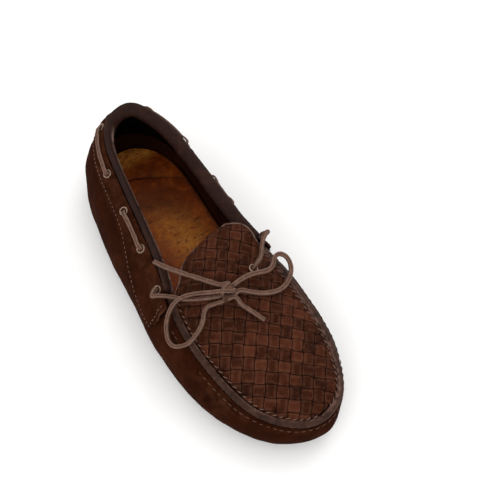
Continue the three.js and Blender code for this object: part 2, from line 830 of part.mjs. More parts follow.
// Each free stretch is a list of places. A cord that leaves an eyelet starts along its bore.
const CORD_STEP = 2.4 * LACE_WIDTH;
const LACE_CROSSING = [
  [45, -10.6, 50.6],
  [43.6, -12.2, 54],
  [40.4, -14.4, 56],
  [36.6, -17.6, 56.6],
  [33.4, -21.4, 56.3],
  [30.6, -25.2, 56.6],
  [27.6, -28.8, 58],
  [24, -31.6, 60.4],
];
const STRAND_LATERAL = [
  [-49, -12.5, 51.5],
  [-46, -14.8, 54],
  [-41, -18, 54],
  [-35.5, -22, 52.7],
  [-31.8, -26.5, 53.9],
  [-25, -32.5, 56.6],
  [-17, -37.3, 58.8],
  [-10.2, -40.5, 60],
];
const LOOP_LEFT = [
  [-10.2, -38.6, 63.6],
  [-15, -36, 62.6],
  [-20, -32.7, 61.3],
  [-26, -29.4, 59.6],
  [-32, -27.3, 57.8],
  [-37.5, -27.2, 55.2],
  [-43, -29.5, 51.5],
  [-47.5, -33.5, 47.5],
  [-50.5, -38.5, 44],
  [-51.8, -43.5, 42],
  [-50.5, -48.2, 42],
  [-46.5, -51.5, 44],
  [-41.5, -53, 46.5],
  [-36.5, -52, 49],
  [-31.3, -49.8, 51],
  [-27, -46.6, 53.2],
  [-24, -43, 55],
  [-21, -41.2, 56],
  [-17, -42.2, 57.4],
  [-13.5, -43.6, 58.8],
  [-9.8, -44.6, 60],
];
const LOOP_RIGHT = [
  [1.4, -39, 62.8],
  [6, -38.2, 62.8],
  [12, -38, 62.4],
  [18, -38.5, 61.2],
  [24, -39.5, 59.3],
  [29, -39, 57.5],
  [33, -36, 56],
  [36.5, -32.5, 55.5],
  [40.5, -31.2, 54.8],
  [44, -33.5, 53.2],
  [45, -38, 51.3],
  [43.3, -43, 50],
  [39.5, -47.5, 49.8],
  [34.5, -51, 50.3],
  [28, -53.2, 51.8],
  [21, -53, 54.2],
  [14.5, -51, 56.4],
  [8.5, -47.8, 58.8],
  [1.6, -43.6, 60.8],
];
const TAIL_LEFT = [
  [-6.8, -34.8, 62.8],
  [-12, -28.7, 62.4],
  [-18.5, -20, 61.5],
  [-25, -11, 60.2],
  [-30.5, -2.5, 58.8],
  [-35, 6, 57.6],
];
const TAIL_RIGHT = [
  [-2.6, -46.4, 60.4],
  [-1.6, -51.8, 58.6],
  [1.4, -57.2, 56.4],
  [4.4, -62.6, 54.8],
  [6.8, -67.6, 53.9],
];
const BOW_KNOT = { middle: [-4.5, -40.5, 62], size: [5.4, 5.3, 4.2] };

const BORE_START = 1.2; // from the middle of the sheet to the end of the cord
const BORE_CLEAR = 4; // to where the cord may start to turn

// Where a round cord starts in a bore, and where it has come clear of it.
function outOfBore({ middle, out }) {
  const direction = out.clone().normalize();
  return [BORE_START, BORE_CLEAR].map((distance) => middle.clone().addScaledVector(direction, distance));
}

function freeLace(name, points, before = [], after = []) {
  const places = [...before, ...points.map(place), ...after];
  addPart(name, cord(places, LACE_WIDTH, CORD_STEP), thong);
}

const quarterOuter = eyeletSeat(QUARTER_EYELET.lateral);
const quarterInner = eyeletSeat(-QUARTER_EYELET.medial);
freeLace("lace_crossing", LACE_CROSSING, outOfBore(quarterInner), outOfBore(apronSeat).reverse());
freeLace("lace_strand", STRAND_LATERAL, outOfBore(quarterOuter));
freeLace("bow_loop_left", LOOP_LEFT);
freeLace("bow_loop_right", LOOP_RIGHT);
freeLace("bow_tail_left", TAIL_LEFT);
freeLace("bow_tail_right", TAIL_RIGHT);

const knot = new THREE.IcosahedronGeometry(1, 1);
knot.scale(...BOW_KNOT.size).translate(...place(BOW_KNOT.middle).toArray());
addPart("bow_knot", knot, thong);

// The origin lies under the middle of the shoe itself, without the loose ends of its lace.
const LOOSE = [
  "lace_strand",
  "bow_loop_left",
  "bow_loop_right",
  "bow_tail_left",
  "bow_tail_right",
  "bow_knot",
];
const box = new THREE.Box3();
parts.children
  .filter((mesh) => !LOOSE.includes(mesh.name))
  .forEach((mesh) => box.expandByObject(mesh));
const centre = box.getCenter(new THREE.Vector3());
parts.position.set(-centre.x, -centre.y, -box.min.z);

export default parts;
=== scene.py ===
"""A right-foot driving moccasin: suede lower, woven apron, laced collar and pebbled rubber sole.

Lengths below are millimetres on the last: the toe points to -Y, the heel to +Y, the outer side to -X.
"""

import math

import bmesh
import bpy
import numpy as np
from mathutils import Matrix, Vector
from mathutils.bvhtree import BVHTree


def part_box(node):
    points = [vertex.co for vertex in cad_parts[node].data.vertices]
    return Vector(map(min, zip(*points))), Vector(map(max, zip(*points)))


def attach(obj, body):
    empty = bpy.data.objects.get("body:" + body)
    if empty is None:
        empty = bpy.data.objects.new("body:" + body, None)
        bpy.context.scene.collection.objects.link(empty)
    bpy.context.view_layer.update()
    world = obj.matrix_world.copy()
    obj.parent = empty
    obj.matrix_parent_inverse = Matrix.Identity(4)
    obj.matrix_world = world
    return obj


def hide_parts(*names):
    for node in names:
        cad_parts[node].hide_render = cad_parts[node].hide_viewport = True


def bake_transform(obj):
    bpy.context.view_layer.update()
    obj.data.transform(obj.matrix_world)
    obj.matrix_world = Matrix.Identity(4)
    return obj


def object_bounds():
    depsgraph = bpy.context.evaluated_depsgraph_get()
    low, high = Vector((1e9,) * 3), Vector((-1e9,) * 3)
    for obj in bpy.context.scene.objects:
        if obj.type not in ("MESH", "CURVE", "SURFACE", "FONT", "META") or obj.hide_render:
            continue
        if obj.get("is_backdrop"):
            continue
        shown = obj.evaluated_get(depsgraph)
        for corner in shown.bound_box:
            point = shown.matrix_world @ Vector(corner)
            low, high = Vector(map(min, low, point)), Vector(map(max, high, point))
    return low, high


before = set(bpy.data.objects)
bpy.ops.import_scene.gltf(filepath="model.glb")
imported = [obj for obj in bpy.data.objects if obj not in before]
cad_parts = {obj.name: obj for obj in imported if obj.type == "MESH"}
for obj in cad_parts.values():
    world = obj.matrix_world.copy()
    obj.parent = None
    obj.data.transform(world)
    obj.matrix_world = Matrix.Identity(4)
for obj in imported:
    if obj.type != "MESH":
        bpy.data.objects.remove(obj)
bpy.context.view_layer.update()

MM = 0.001

# ---------------------------------------------------------------- sizes, as on the CAD part
LENGTH = 285.0
GAP = 0.3
SHELL = 1.6
BAND = 1.2
LINING = 0.9
COUNTER = 1.4
WEAVE = 2.2
FEATHER = 8.0
CROWN = 12.0
NUB_HEIGHT = 2.4
NUB_RADIUS = 3.2
NUB_PITCH = 16.0
SOLE_SHEET = 2.1
LACE_WIDTH = 3.3
LACE_THICKNESS = 1.3
TUNNEL = 2.2
BINDING_WIDTH = 10.5
BINDING_HEIGHT = 5.0
BINDING_OUT = 0.4
PIPING = 4.8
BOARD = 1.0
FOOTBED = 3.0
HEEL_PAD = 2.0
FOOTBED_INSET = 6.6
HEEL_PAD_INSET = 8.0
SOLE_INSET = 1.5
SHELL_BOTTOM = NUB_HEIGHT + SOLE_SHEET + GAP
BOARD_TOP = SHELL_BOTTOM + SHELL + GAP + BOARD
FOOTBED_BOTTOM = BOARD_TOP + GAP
FOOTBED_TOP = FOOTBED_BOTTOM + FOOTBED
PAD_TOP = FOOTBED_TOP + GAP + HEEL_PAD

# One row per station, from the heel (0) along the outer side to the toe (10) and back along the inner side:
# a point on the widest line of the wall, then a point on its upper edge.
STATIONS = np.array([
    [(-1, 141, 24), (4, 128.3, 62.3)],
    [(-29.5, 130, 23), (-10.8, 122.7, 60.3)],
    [(-45, 102.5, 19), (-20.2, 105.2, 57.3)],
    [(-52, 67, 16), (-25.2, 70.6, 53.3)],
    [(-55, 31, 14), (-29.2, 35, 50.3)],
    [(-57, -3, 14), (-34.2, -1, 48.3)],
    [(-59, -35, 14), (-42.4, -33.4, 45.2)],
    [(-55, -72.5, 14), (-41.6, -68.2, 39)],
    [(-42.5, -107, 15), (-32, -107.6, 33)],
    [(-19.8, -133.5, 16), (-12.4, -131.2, 30)],
    [(8.8, -142.2, 16), (9.6, -138, 29.8)],
    [(31, -127.8, 16), (29.6, -126.4, 31.6)],
    [(46.3, -98.5, 16), (42, -96, 34.5)],
    [(50, -61, 16), (43, -60, 40)],
    [(46, -25, 16), (39.6, -27, 44.4)],
    [(40.5, 7, 16), (33.6, 0.4, 49.3)],
    [(37, 40, 18), (31.4, 29, 50.3)],
    [(38, 75, 19), (30.3, 63, 52.3)],
    [(36, 105, 20), (26.4, 99.2, 56.3)],
    [(23.5, 130, 22), (15.8, 122.9, 60.8)],
], float)
WIDEST = STATIONS[:, 0]
TOP = STATIONS[:, 1]
COUNT = len(STATIONS)
TOE = 10
WIDEST_AT = 0.3
FULLNESS = 0.68
KNOT_MIDDLE = np.array([-4.5, -40.5, 62.0])

SEAT_SUNK = 0.3  # how far an eyelet sinks the suede under it
CUT_END_WEAR = 0.9  # of the lace's pale cut ends
END_GAP = 0.02  # keeps the two ends of a plan outline open
SEWN_PITCH = 4.6  # of the gathers and pinches at the toe seam

# The part's origin lies under its middle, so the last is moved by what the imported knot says.
low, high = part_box("bow_knot")
SHIFT = np.array((low + high) / 2) / MM - KNOT_MIDDLE


def to_frame(points):
    return (np.asarray(points, float) + SHIFT) * MM


def unit(v):
    return v / np.maximum(np.linalg.norm(v, axis=-1, keepdims=True), 1e-9)


def smooth(x):
    t = np.clip(x, 0, 1)
    return t * t * (3 - 2 * t)


def lerp(a, b, t):
    return a + (b - a) * t


def ripple(points, wavelength, seed, waves=14):
    """A smooth random field over points, about -1 to 1, with bumps of about that wavelength."""
    rng = np.random.default_rng(seed)
    directions = unit(rng.normal(size=(waves, 3)))
    lengths = wavelength * rng.uniform(0.7, 1.4, waves)
    phases = rng.uniform(0, 2 * np.pi, waves)
    turn = np.asarray(points) @ (directions * (2 * np.pi / lengths)[:, None]).T + phases
    return np.cos(turn).sum(-1) / math.sqrt(waves * 2)


# ---------------------------------------------------------------- the last
def on_loop(points, s):
    s = np.asarray(s, float) % COUNT
    i = np.floor(s).astype(int)
    t = (s - i)[..., None]
    a, b, c, d = (points[(i + k) % COUNT] for k in (-1, 0, 1, 2))
    return 0.5 * (2 * b + (c - a) * t + (2 * a - 5 * b + 4 * c - d) * t**2 + (3 * b - a - 3 * c + d) * t**3)


def plan_normal(s):
    along = on_loop(WIDEST, np.asarray(s) + 0.02) - on_loop(WIDEST, np.asarray(s) - 0.02)
    return unit(np.stack([along[..., 1], -along[..., 0], np.zeros(along.shape[:-1])], -1))


def shell_point(s, h):
    s, h = np.broadcast_arrays(np.asarray(s, float), np.asarray(h, float))
    widest = on_loop(WIDEST, s)
    top = on_loop(TOP, s)
    turn = np.clip(h / WIDEST_AT, 0, 1) * np.pi / 2
    below = widest - plan_normal(s) * (FEATHER * (1 - np.sin(turn)))[..., None]
    below[..., 2] = SHELL_BOTTOM + (widest[..., 2] - SHELL_BOTTOM) * (1 - np.cos(turn))
    knee = widest.copy()
    knee[..., 2] += FULLNESS * (top[..., 2] - widest[..., 2])
    t = ((h - WIDEST_AT) / (1 - WIDEST_AT))[..., None]
    above = widest * (1 - t) ** 2 + knee * 2 * t * (1 - t) + top * t**2
    return np.where((h < WIDEST_AT)[..., None], below, above)


def shell_frame(s, h):
    """Directions at a place of the wall: up it, along it and out of it."""
    step = 0.01
    s, h = np.broadcast_arrays(np.asarray(s, float), np.asarray(h, float))
    up = unit(shell_point(s, np.minimum(1, h + step)) - shell_point(s, np.maximum(0, h - step)))
    along = unit(shell_point(s + step, h) - shell_point(s - step, h))
    return up, along, unit(np.cross(along, up))


def wall(s, h, offset):
    return shell_point(s, h) + shell_frame(s, h)[2] * np.asarray(offset, float)[..., None]


# ---------------------------------------------------------------- meshes
def grid_faces(rows, columns, start=0, wrap=False):
    i, j = np.meshgrid(np.arange(rows - 1), np.arange(columns if wrap else columns - 1), indexing="ij")
    a = start + i * columns + j
    b = start + i * columns + (j + 1) % columns
    return np.stack([a, b, b + columns, a + columns], -1).reshape(-1, 4)


def piece(name, points, faces, material, attributes=None, crease=40):
    """A mesh piece from points on the last. Attributes are numbers per point that its material reads."""
    mesh = bpy.data.meshes.new(name)
    mesh.from_pydata(to_frame(points).tolist(), [], [list(map(int, f)) for f in faces])
    for key, values in (attributes or {}).items():
        attribute = mesh.attributes.new(key, "FLOAT", "POINT")
        attribute.data.foreach_set("value", np.asarray(values, np.float32).ravel())
    mesh.validate()
    mesh.polygons.foreach_set("use_smooth", [True] * len(mesh.polygons))
    mesh.set_sharp_from_angle(angle=math.radians(crease))
    mesh.materials.append(material)
    made = bpy.data.objects.new(name, mesh)
    bpy.context.scene.collection.objects.link(made)
    face_out(made)
    return made


def face_out(made):
    """Turns a closed mesh's faces so that they look out of it."""
    work = bmesh.new()
    work.from_mesh(made.data)
    bmesh.ops.recalc_face_normals(work, faces=work.faces)
    work.to_mesh(made.data)
    work.free()


def slab(outer, inner):
    """Points and faces of a sheet between two grids of points, closed round its four sides."""
    rows, columns = outer.shape[:2]
    points = np.concatenate([outer.reshape(-1, 3), inner.reshape(-1, 3)])
    size = rows * columns
    index = np.arange(size).reshape(rows, columns)
    rim = np.concatenate([index[0], index[1:, -1], index[-1, -2::-1], index[-2:0:-1, 0]])
    nxt = np.roll(rim, -1)
    sides = np.stack([rim, nxt, nxt + size, rim + size], -1)
    faces = np.concatenate([grid_faces(rows, columns), grid_faces(rows, columns, size)[:, ::-1], sides])
    return points, faces


def tube(rings):
    """Points and faces of a closed tube through rings, which has a point in the middle of each end."""
    count, sides = rings.shape[:2]
    points = np.concatenate([rings.reshape(-1, 3), [rings[0].mean(0), rings[-1].mean(0)]])
    faces = [tuple(f) for f in grid_faces(count, sides, wrap=True)]
    last = (count - 1) * sides
    for i in range(sides):
        j = (i + 1) % sides
        faces.append((count * sides, j, i))
        faces.append((count * sides + 1, last + i, last + j))
    return points, faces


def grid_ring(rows, columns):
    """Faces of a grid that closes on itself both ways."""
    i, j = np.meshgrid(np.arange(rows), np.arange(columns), indexing="ij")
    row, next_row, next_j = i * columns, (i + 1) % rows * columns, (j + 1) % columns
    return np.stack([row + j, row + next_j, next_row + next_j, next_row + j], -1).reshape(-1, 4)


def padded(values, extra=2, last=0.0):
    """Numbers per point in one row, with more at its end for the points that close a mesh."""
    return np.concatenate([np.ravel(values), np.full(extra, last)])


def gather(parts):
    """Several (points, faces) as one."""
    points, faces, start = [], [], 0
    for some, made in parts:
        points.append(np.asarray(some))
        faces.extend(tuple(int(i) + start for i in f) for f in made)
        start += len(some)
    return np.concatenate(points), faces


def through(points, step):
    """Evenly spaced points on a smooth curve through the given ones."""
    points = np.asarray(points, float)
    ends = np.concatenate([[2 * points[0] - points[1]], points, [2 * points[-1] - points[-2]]])
    knots = np.concatenate([[0], np.cumsum(np.sqrt(np.linalg.norm(np.diff(ends, axis=0), axis=1)))])
    fine = []
    for i in range(1, len(ends) - 2):
        t0, t1, t2, t3 = knots[i - 1:i + 3]
        t = np.linspace(t1, t2, 24, endpoint=False)[:, None]
        p0, p1, p2, p3 = ends[i - 1:i + 3]
        a1 = (t1 - t) / (t1 - t0) * p0 + (t - t0) / (t1 - t0) * p1
        a2 = (t2 - t) / (t2 - t1) * p1 + (t - t1) / (t2 - t1) * p2
        a3 = (t3 - t) / (t3 - t2) * p2 + (t - t2) / (t3 - t2) * p3
        b1 = (t2 - t) / (t2 - t0) * a1 + (t - t0) / (t2 - t0) * a2
        b2 = (t3 - t) / (t3 - t1) * a2 + (t - t1) / (t3 - t1) * a3
        fine.append((t2 - t) / (t2 - t1) * b1 + (t - t1) / (t2 - t1) * b2)
    fine = np.concatenate([*fine, points[-1:]])
    return evenly(fine, step)


def picked(at, rows, places=None):
    """Rows of numbers in between the given ones. Their places are their numbers in the list if not given."""
    places = np.arange(len(rows)) if places is None else places
    return np.stack([np.interp(at, places, rows[:, k]) for k in range(3)], -1)


def evenly(fine, step):
    run = np.concatenate([[0], np.cumsum(np.linalg.norm(np.diff(fine, axis=0), axis=1))])
    count = max(3, int(round(run[-1] / step)) + 1)
    at = np.linspace(0, run[-1], count)
    return picked(at, fine, run)


def length_of(path):
    return float(np.linalg.norm(np.diff(path, axis=0), axis=1).sum())


def directions(path):
    ahead = np.concatenate([path[1:], path[-1:]])
    behind = np.concatenate([path[:1], path[:-1]])
    return unit(ahead - behind)


def carried(path, first):
    """A direction across the path that turns with it as little as it can."""
    along = directions(path)
    made = []
    now = np.asarray(first, float)
    for direction in along:
        now = unit(now - direction * (now @ direction))
        made.append(now)
    return np.array(made)


# ---------------------------------------------------------------- materials
def node(tree, kind, inputs=None, **settings):
    made = tree.nodes.new("ShaderNode" + kind)
    for key, value in settings.items():
        setattr(made, key, value)
    for key, value in (inputs or {}).items():
        if isinstance(value, bpy.types.NodeSocket):
            tree.links.new(value, made.inputs[key])
        else:
            made.inputs[key].default_value = value
    return made


def colour(hexadecimal):
    """Linear colour of a six-figure hexadecimal sRGB one."""
    parts = [int(hexadecimal[i:i + 2], 16) / 255 for i in (0, 2, 4)]
    return [*(p / 12.92 if p <= 0.04045 else ((p + 0.055) / 1.055) ** 2.4 for p in parts), 1]


class Finish:
    """A material being built up, from noises over the object's own coordinates."""

    def __init__(self, name, **shader):
        self.material = bpy.data.materials.new(name)
        self.material.use_nodes = True
        self.tree = self.material.node_tree
        self.shader = self.tree.nodes["Principled BSDF"]
        for key, value in shader.items():
            self.shader.inputs[key.replace("_", " ")].default_value = value
        self.place = node(self.tree, "TexCoord").outputs["Object"]

    def add(self, kind, inputs=None, **settings):
        return node(self.tree, kind, inputs, **settings)

    def noise(self, size, detail=3, roughness=0.55, stretch=None, distortion=0):
        """A noise whose bumps are about that many millimetres wide."""
        place = self.place
        if stretch:
            place = self.add("Mapping", {"Vector": place, "Scale": stretch}).outputs[0]
        inputs = {"Vector": place, "Scale": 1 / (size * MM), "Detail": detail,
                  "Roughness": roughness, "Distortion": distortion}
        return self.add("TexNoise", inputs).outputs["Fac"]

    def cells(self, size, feature="DISTANCE_TO_EDGE", randomness=1.0):
        inputs = {"Vector": self.place, "Scale": 1 / (size * MM), "Randomness": randomness}
        return self.add("TexVoronoi", inputs, feature=feature).outputs["Distance"]

    def reads(self, attribute):
        return self.add("Attribute", attribute_name=attribute).outputs["Fac"]

    def maths(self, operation, a, b=0.0, clamp=False):
        made = self.add("Math", {0: a, 1: b}, operation=operation)
        made.use_clamp = clamp
        return made.outputs[0]

    def scaled(self, value, from_low, from_high, low=0.0, high=1.0):
        inputs = {"Value": value, "From Min": from_low, "From Max": from_high, "To Min": low, "To Max": high}
        return self.add("MapRange", inputs, interpolation_type="SMOOTHSTEP").outputs[0]

    def ramp(self, value, *stops):
        made = self.add("ValToRGB", {"Fac": value})
        elements = made.color_ramp.elements
        while len(elements) < len(stops):
            elements.new(0.5)
        for element, (position, tint) in zip(elements, stops):
            element.position = position
            element.color = tint if isinstance(tint, list) else colour(tint)
        return made.outputs["Color"]

    def mixed(self, factor, a, b, blend="MIX"):
        made = self.add("Mix", data_type="RGBA", blend_type=blend)
        for index, value in ((0, factor), (6, a), (7, b)):
            if isinstance(value, bpy.types.NodeSocket):
                self.tree.links.new(value, made.inputs[index])
            elif isinstance(value, str):
                made.inputs[index].default_value = colour(value)
            else:
                made.inputs[index].default_value = value
        return made.outputs[2]

    def paints(self, tint):
        self.tree.links.new(tint, self.shader.inputs["Base Color"])

    def blended(self, a, share, b):
        """That share of one noise and the rest of another."""
        return self.maths("ADD", self.maths("MULTIPLY", a, share), self.maths("MULTIPLY", b, 1 - share))

    def rubbed_and_lit(self, tint, over, low, high, worn_and_lit):
        """The tint, made paler in patches where the mesh says so: real scuffing on most parts, a painted
        highlight on the rolled edges, the tongue's edge and the raised weave.
        """
        rub = self.maths("MULTIPLY", self.reads("wear"), self.scaled(over, low, high))
        return self.mixed(rub, tint, worn_and_lit)

    def shaded(self, tint, dark):
        # Painted shade: the tint darkened towards dark where the mesh says shade.
        return self.mixed(self.reads("shade"), tint, dark)

    def roughens(self, patch, low, high):
        rough = self.scaled(patch, 0.3, 0.7, low, high)
        self.tree.links.new(rough, self.shader.inputs["Roughness"])

    def bumps(self, *layers):
        """Layers are (height, how deep it is in millimetres)."""
        normal = None
        for height, depth in layers:
            inputs = {"Height": height, "Strength": 1.0, "Distance": depth * MM}
            if normal is not None:
                inputs["Normal"] = normal
            normal = self.add("Bump", inputs).outputs["Normal"]
        self.tree.links.new(normal, self.shader.inputs["Normal"])


def suede(name, dark, mid, light, worn_and_lit):
    made = Finish(name, Roughness=0.95, Specular_IOR_Level=0.02, Sheen_Weight=0.006, Sheen_Roughness=0.5,
                  Sheen_Tint=colour("a9826a"))
    cloud = made.noise(34, 4, 0.62, distortion=0.8)
    patch = made.noise(7, 4, 0.6)
    nap = made.noise(0.75, 3, 0.7)
    strokes = made.noise(2.2, 3, 0.6, stretch=(1.0, 0.35, 0.7), distortion=0.6)
    tone = made.blended(cloud, 0.62, patch)
    tint = made.ramp(tone, (0.3, dark), (0.5, mid), (0.72, light))
    grain = made.ramp(nap, (0.3, [0.72, 0.72, 0.72, 1]), (0.7, [1.25, 1.22, 1.2, 1]))
    tint = made.mixed(0.85, tint, grain, "MULTIPLY")
    tint = made.mixed(made.scaled(strokes, 0.5, 0.75, 0.0, 0.25), tint, light)
    made.paints(made.shaded(made.rubbed_and_lit(tint, patch, 0.35, 0.65, worn_and_lit), dark))
    made.bumps((patch, 0.35), (strokes, 0.18), (nap, 0.16))
    return made.material


def leather(name, dark, mid, light, worn_and_lit, grain=1.1, roughness=(0.42, 0.62), crease=0.12, gloss=0.1):
    made = Finish(name, Specular_IOR_Level=gloss)
    cloud = made.noise(18, 4, 0.6, distortion=0.5)
    patch = made.noise(3.5, 4, 0.6)
    fine = made.noise(0.5, 3, 0.65)
    pebbles = made.cells(grain)
    tone = made.blended(cloud, 0.55, patch)
    tint = made.ramp(tone, (0.36, dark), (0.5, mid), (0.66, light))
    tint = made.mixed(made.scaled(pebbles, 0.0, 0.12, 0.45, 0.0), tint, dark)
    made.paints(made.shaded(made.rubbed_and_lit(tint, patch, 0.3, 0.6, worn_and_lit), dark))
    made.roughens(patch, *roughness)
    made.bumps((cloud, 0.5), (made.scaled(pebbles, 0.0, 0.25), crease), (fine, 0.05))
    return made.material


LOWER_SUEDE = suede("lower_suede", "1c0a04", "2a1107", "3a1a0c", worn_and_lit="50301f")
BAND_SUEDE = suede("band_suede", "1e0b05", "2c1308", "3e1d0f", worn_and_lit="573626")
# The palest colour of each of these two leathers is a painted highlight, laid along the top of the rolled edges
# and the tongue's edge.
ROLL = leather("roll_leather", "1a0b07", "27130d", "381f17", "8c756c", grain=0.9, crease=0.05)
PIPE = leather("piping_leather", "22120c", "382219", "50372c", "86695d", grain=0.8, crease=0.06)
# Near-black lining: its own dark colour, darkened further as painted shade for the inside of the shoe.
SHADED_LINING = leather("lining_leather", "030101", "070302", "0d0503", "1a0d09", grain=1.4, roughness=(0.6, 0.8),
                gloss=0.04)
FELT = suede("board_fibre", "6d4f33", "8b6a48", "a88a63", worn_and_lit="8a6446")


def woven():
    made = Finish("woven_leather", Specular_IOR_Level=0.045)
    patch = made.noise(5.5, 4, 0.6, distortion=0.4)
    fine = made.noise(0.6, 3, 0.65)
    scratch = made.noise(1.6, 3, 0.6, stretch=(0.4, 1.0, 0.6))
    pebbles = made.cells(1.0)
    tone = made.blended(patch, 0.5, made.reads("tone"))
    tint = made.ramp(tone, (0.2, "1c0903"), (0.48, "331507"), (0.76, "4e2718"))
    tint = made.mixed(made.scaled(scratch, 0.52, 0.72, 0.0, 0.25), tint, "542c1c")
    # The paler colour here is a painted highlight on the raised strip edges and bends; the darkest colour is
    # painted shade where strips dip under their crossings.
    made.paints(made.shaded(made.rubbed_and_lit(tint, patch, 0.28, 0.62, "744c3a"), "120503"))
    made.roughens(patch, 0.5, 0.72)
    made.bumps((patch, 0.35), (made.scaled(pebbles, 0.0, 0.3), 0.08), (fine, 0.06))
    return made.material


def thong():
    made = Finish("thong", Specular_IOR_Level=0.08)
    patch = made.noise(4, 4, 0.65, distortion=0.6)
    fine = made.noise(0.45, 3, 0.7)
    tint = made.ramp(patch, (0.3, "26120a"), (0.5, "3e2217"), (0.7, "5c3f33"))
    made.paints(made.shaded(made.rubbed_and_lit(tint, fine, 0.3, 0.6, "846a5d"), "24120c"))
    made.roughens(patch, 0.6, 0.85)
    made.bumps((patch, 0.3), (fine, 0.12))
    return made.material


def insole():
    made = Finish("insole_leather", Specular_IOR_Level=0.12)
    cloud = made.noise(26, 5, 0.6, distortion=1.2)
    patch = made.noise(6, 5, 0.65, distortion=0.8)
    crinkle = made.noise(3.2, 4, 0.7, stretch=(0.5, 1.3, 1.0), distortion=1.5)
    fine = made.noise(0.5, 3, 0.6)
    tone = made.blended(cloud, 0.6, patch)
    tint = made.ramp(tone, (0.34, "4a1a03"), (0.5, "742f06"), (0.66, "9c4c12"))
    made.paints(made.shaded(made.rubbed_and_lit(tint, crinkle, 0.3, 0.6, "b9782f"), "2a0f04"))
    made.roughens(patch, 0.4, 0.65)
    made.bumps((patch, 0.4), (crinkle, 0.35), (fine, 0.05))
    return made.material


def rubber():
    made = Finish("rubber", Specular_IOR_Level=0.35)
    patch = made.noise(5, 3, 0.6)
    fine = made.noise(0.4, 3, 0.6)
    tint = made.ramp(patch, (0.3, "1b0f09"), (0.55, "2e1b11"), (0.75, "43291b"))
    made.paints(made.rubbed_and_lit(tint, fine, 0.3, 0.6, "6a5142"))
    made.roughens(patch, 0.55, 0.8)
    made.bumps((patch, 0.15), (fine, 0.06))
    return made.material


def brass():
    made = Finish("eyelet_metal", Metallic=0.85)
    patch = made.noise(1.2, 3, 0.6)
    made.paints(made.ramp(patch, (0.3, "5a463c"), (0.55, "8a7262"), (0.75, "ae9688")))
    made.roughens(patch, 0.3, 0.5)
    made.bumps((patch, 0.05))
    return made.material


def thread(name, dark, light):
    made = Finish(name, Roughness=0.8, Specular_IOR_Level=0.3)
    twist = made.noise(0.8, 2, 0.5)
    made.paints(made.ramp(twist, (0.3, dark), (0.7, light)))
    made.bumps((twist, 0.12))
    return made.material


WOVEN = woven()
THONG = thong()
INSOLE = insole()
RUBBER = rubber()
BRASS = brass()
THREAD = thread("pale_thread", "4c342a", "7c5e50")
DARK_THREAD = thread("brown_thread", "3c241a", "5e4032")
# Painted shade: the near-black colour of the small cups that stand for the footbed's pricked holes.
DARK = Finish("shadowed_hole", Roughness=0.9)
DARK.paints(DARK.ramp(DARK.noise(1, 2), (0.3, "0a0402"), (0.7, "1a0b05")))
HOLE_SHADE = DARK.material


# ---------------------------------------------------------------- stitches
def stitches(name, path, out, material, run=3.0, pause=1.6, thick=0.9, lean=0.0, sink=0.15):
    """A row of stitches along a path of points. Out is the direction off the surface at each point."""
    gone = np.concatenate([[0], np.cumsum(np.linalg.norm(np.diff(path, axis=0), axis=1))])
    count = int(gone[-1] // (run + pause))
    pitch = gone[-1] / count
    rng = np.random.default_rng(len(name) + count)
    made = []
    turn = np.linspace(0, 2 * np.pi, 8, endpoint=False)
    for k in range(count):
        middle = (k + 0.5) * pitch + rng.uniform(-0.15, 0.15)
        at = np.clip(np.linspace(middle - run / 2, middle + run / 2, 7), 0, gone[-1])
        line = picked(at, path, gone)
        off = unit(picked(at, out, gone))
        along = directions(line)
        side = unit(np.cross(off, along))
        slant = np.linspace(-1, 1, 7)[:, None] * lean + rng.uniform(-0.1, 0.1)
        bow = np.array([0, 0.55, 0.85, 1, 0.85, 0.55, 0])
        girth = np.array([0.35, 0.8, 1, 1, 1, 0.8, 0.35]) * thick / 2
        line = line + side * slant + off * (bow * thick * 0.5 - sink)[:, None]
        rings = (line[:, None] + side[:, None] * (np.cos(turn)[:, None] * girth[:, None, None])
                 + off[:, None] * (np.sin(turn)[:, None] * girth[:, None, None] * 0.8))
        made.append(tube(rings))
    return piece(name, *gather(made), material, crease=80)


def ride(made, slot, *replaced):
    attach(made, "shoe")
    if replaced:
        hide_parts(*replaced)
    return made


# ---------------------------------------------------------------- the suede lower
def lower_shell():
    stations = np.linspace(0, COUNT, 400, endpoint=False)
    heights = np.concatenate([np.linspace(0, 0.3, 12, endpoint=False), np.linspace(0.3, 1, 44)])
    s, h = np.meshgrid(stations, heights)
    plain = shell_point(s, h)
    run = np.concatenate([[0], np.cumsum(np.linalg.norm(np.diff(on_loop(TOP, stations), axis=0), axis=1))])
    toe = smooth((4.3 - np.abs(s - TOE)) / 0.6)
    gathers = np.cos(2 * np.pi * run[None, :] / SEWN_PITCH) * smooth((h - 0.84) / 0.1) * toe * 0.38
    puff = smooth((h - 0.72) / 0.12) * smooth((0.985 - h) / 0.08) * toe * 0.7
    slack = ripple(plain, 38, 3) * 0.7 + ripple(plain, 16, 4) * 0.3
    bottom = smooth((h - 0.1) / 0.25) * smooth((1.02 - h) / 0.15)
    outer = wall(s, h, gathers + puff + slack * bottom - 0.4 * bottom)
    inner = wall(s, h, -SHELL)[::-1]
    rings = np.concatenate([outer, inner])
    points, faces = tube(rings)
    wear = smooth((h - 0.12) / 0.1) * smooth((0.42 - h) / 0.2) * 0.25 + puff * 0.25
    wear = np.clip(wear + 0.15 * ripple(plain, 45, 9), 0, 1)
    shade = smooth((0.5 - h) / 0.5) * 0.6
    marks = {"wear": padded(wear, s.size + 2), "shade": padded(shade, s.size + 2)}
    return ride(piece("suede_lower", points, faces, LOWER_SUEDE, marks), "suede", "moccasin_lower")


lower_shell()

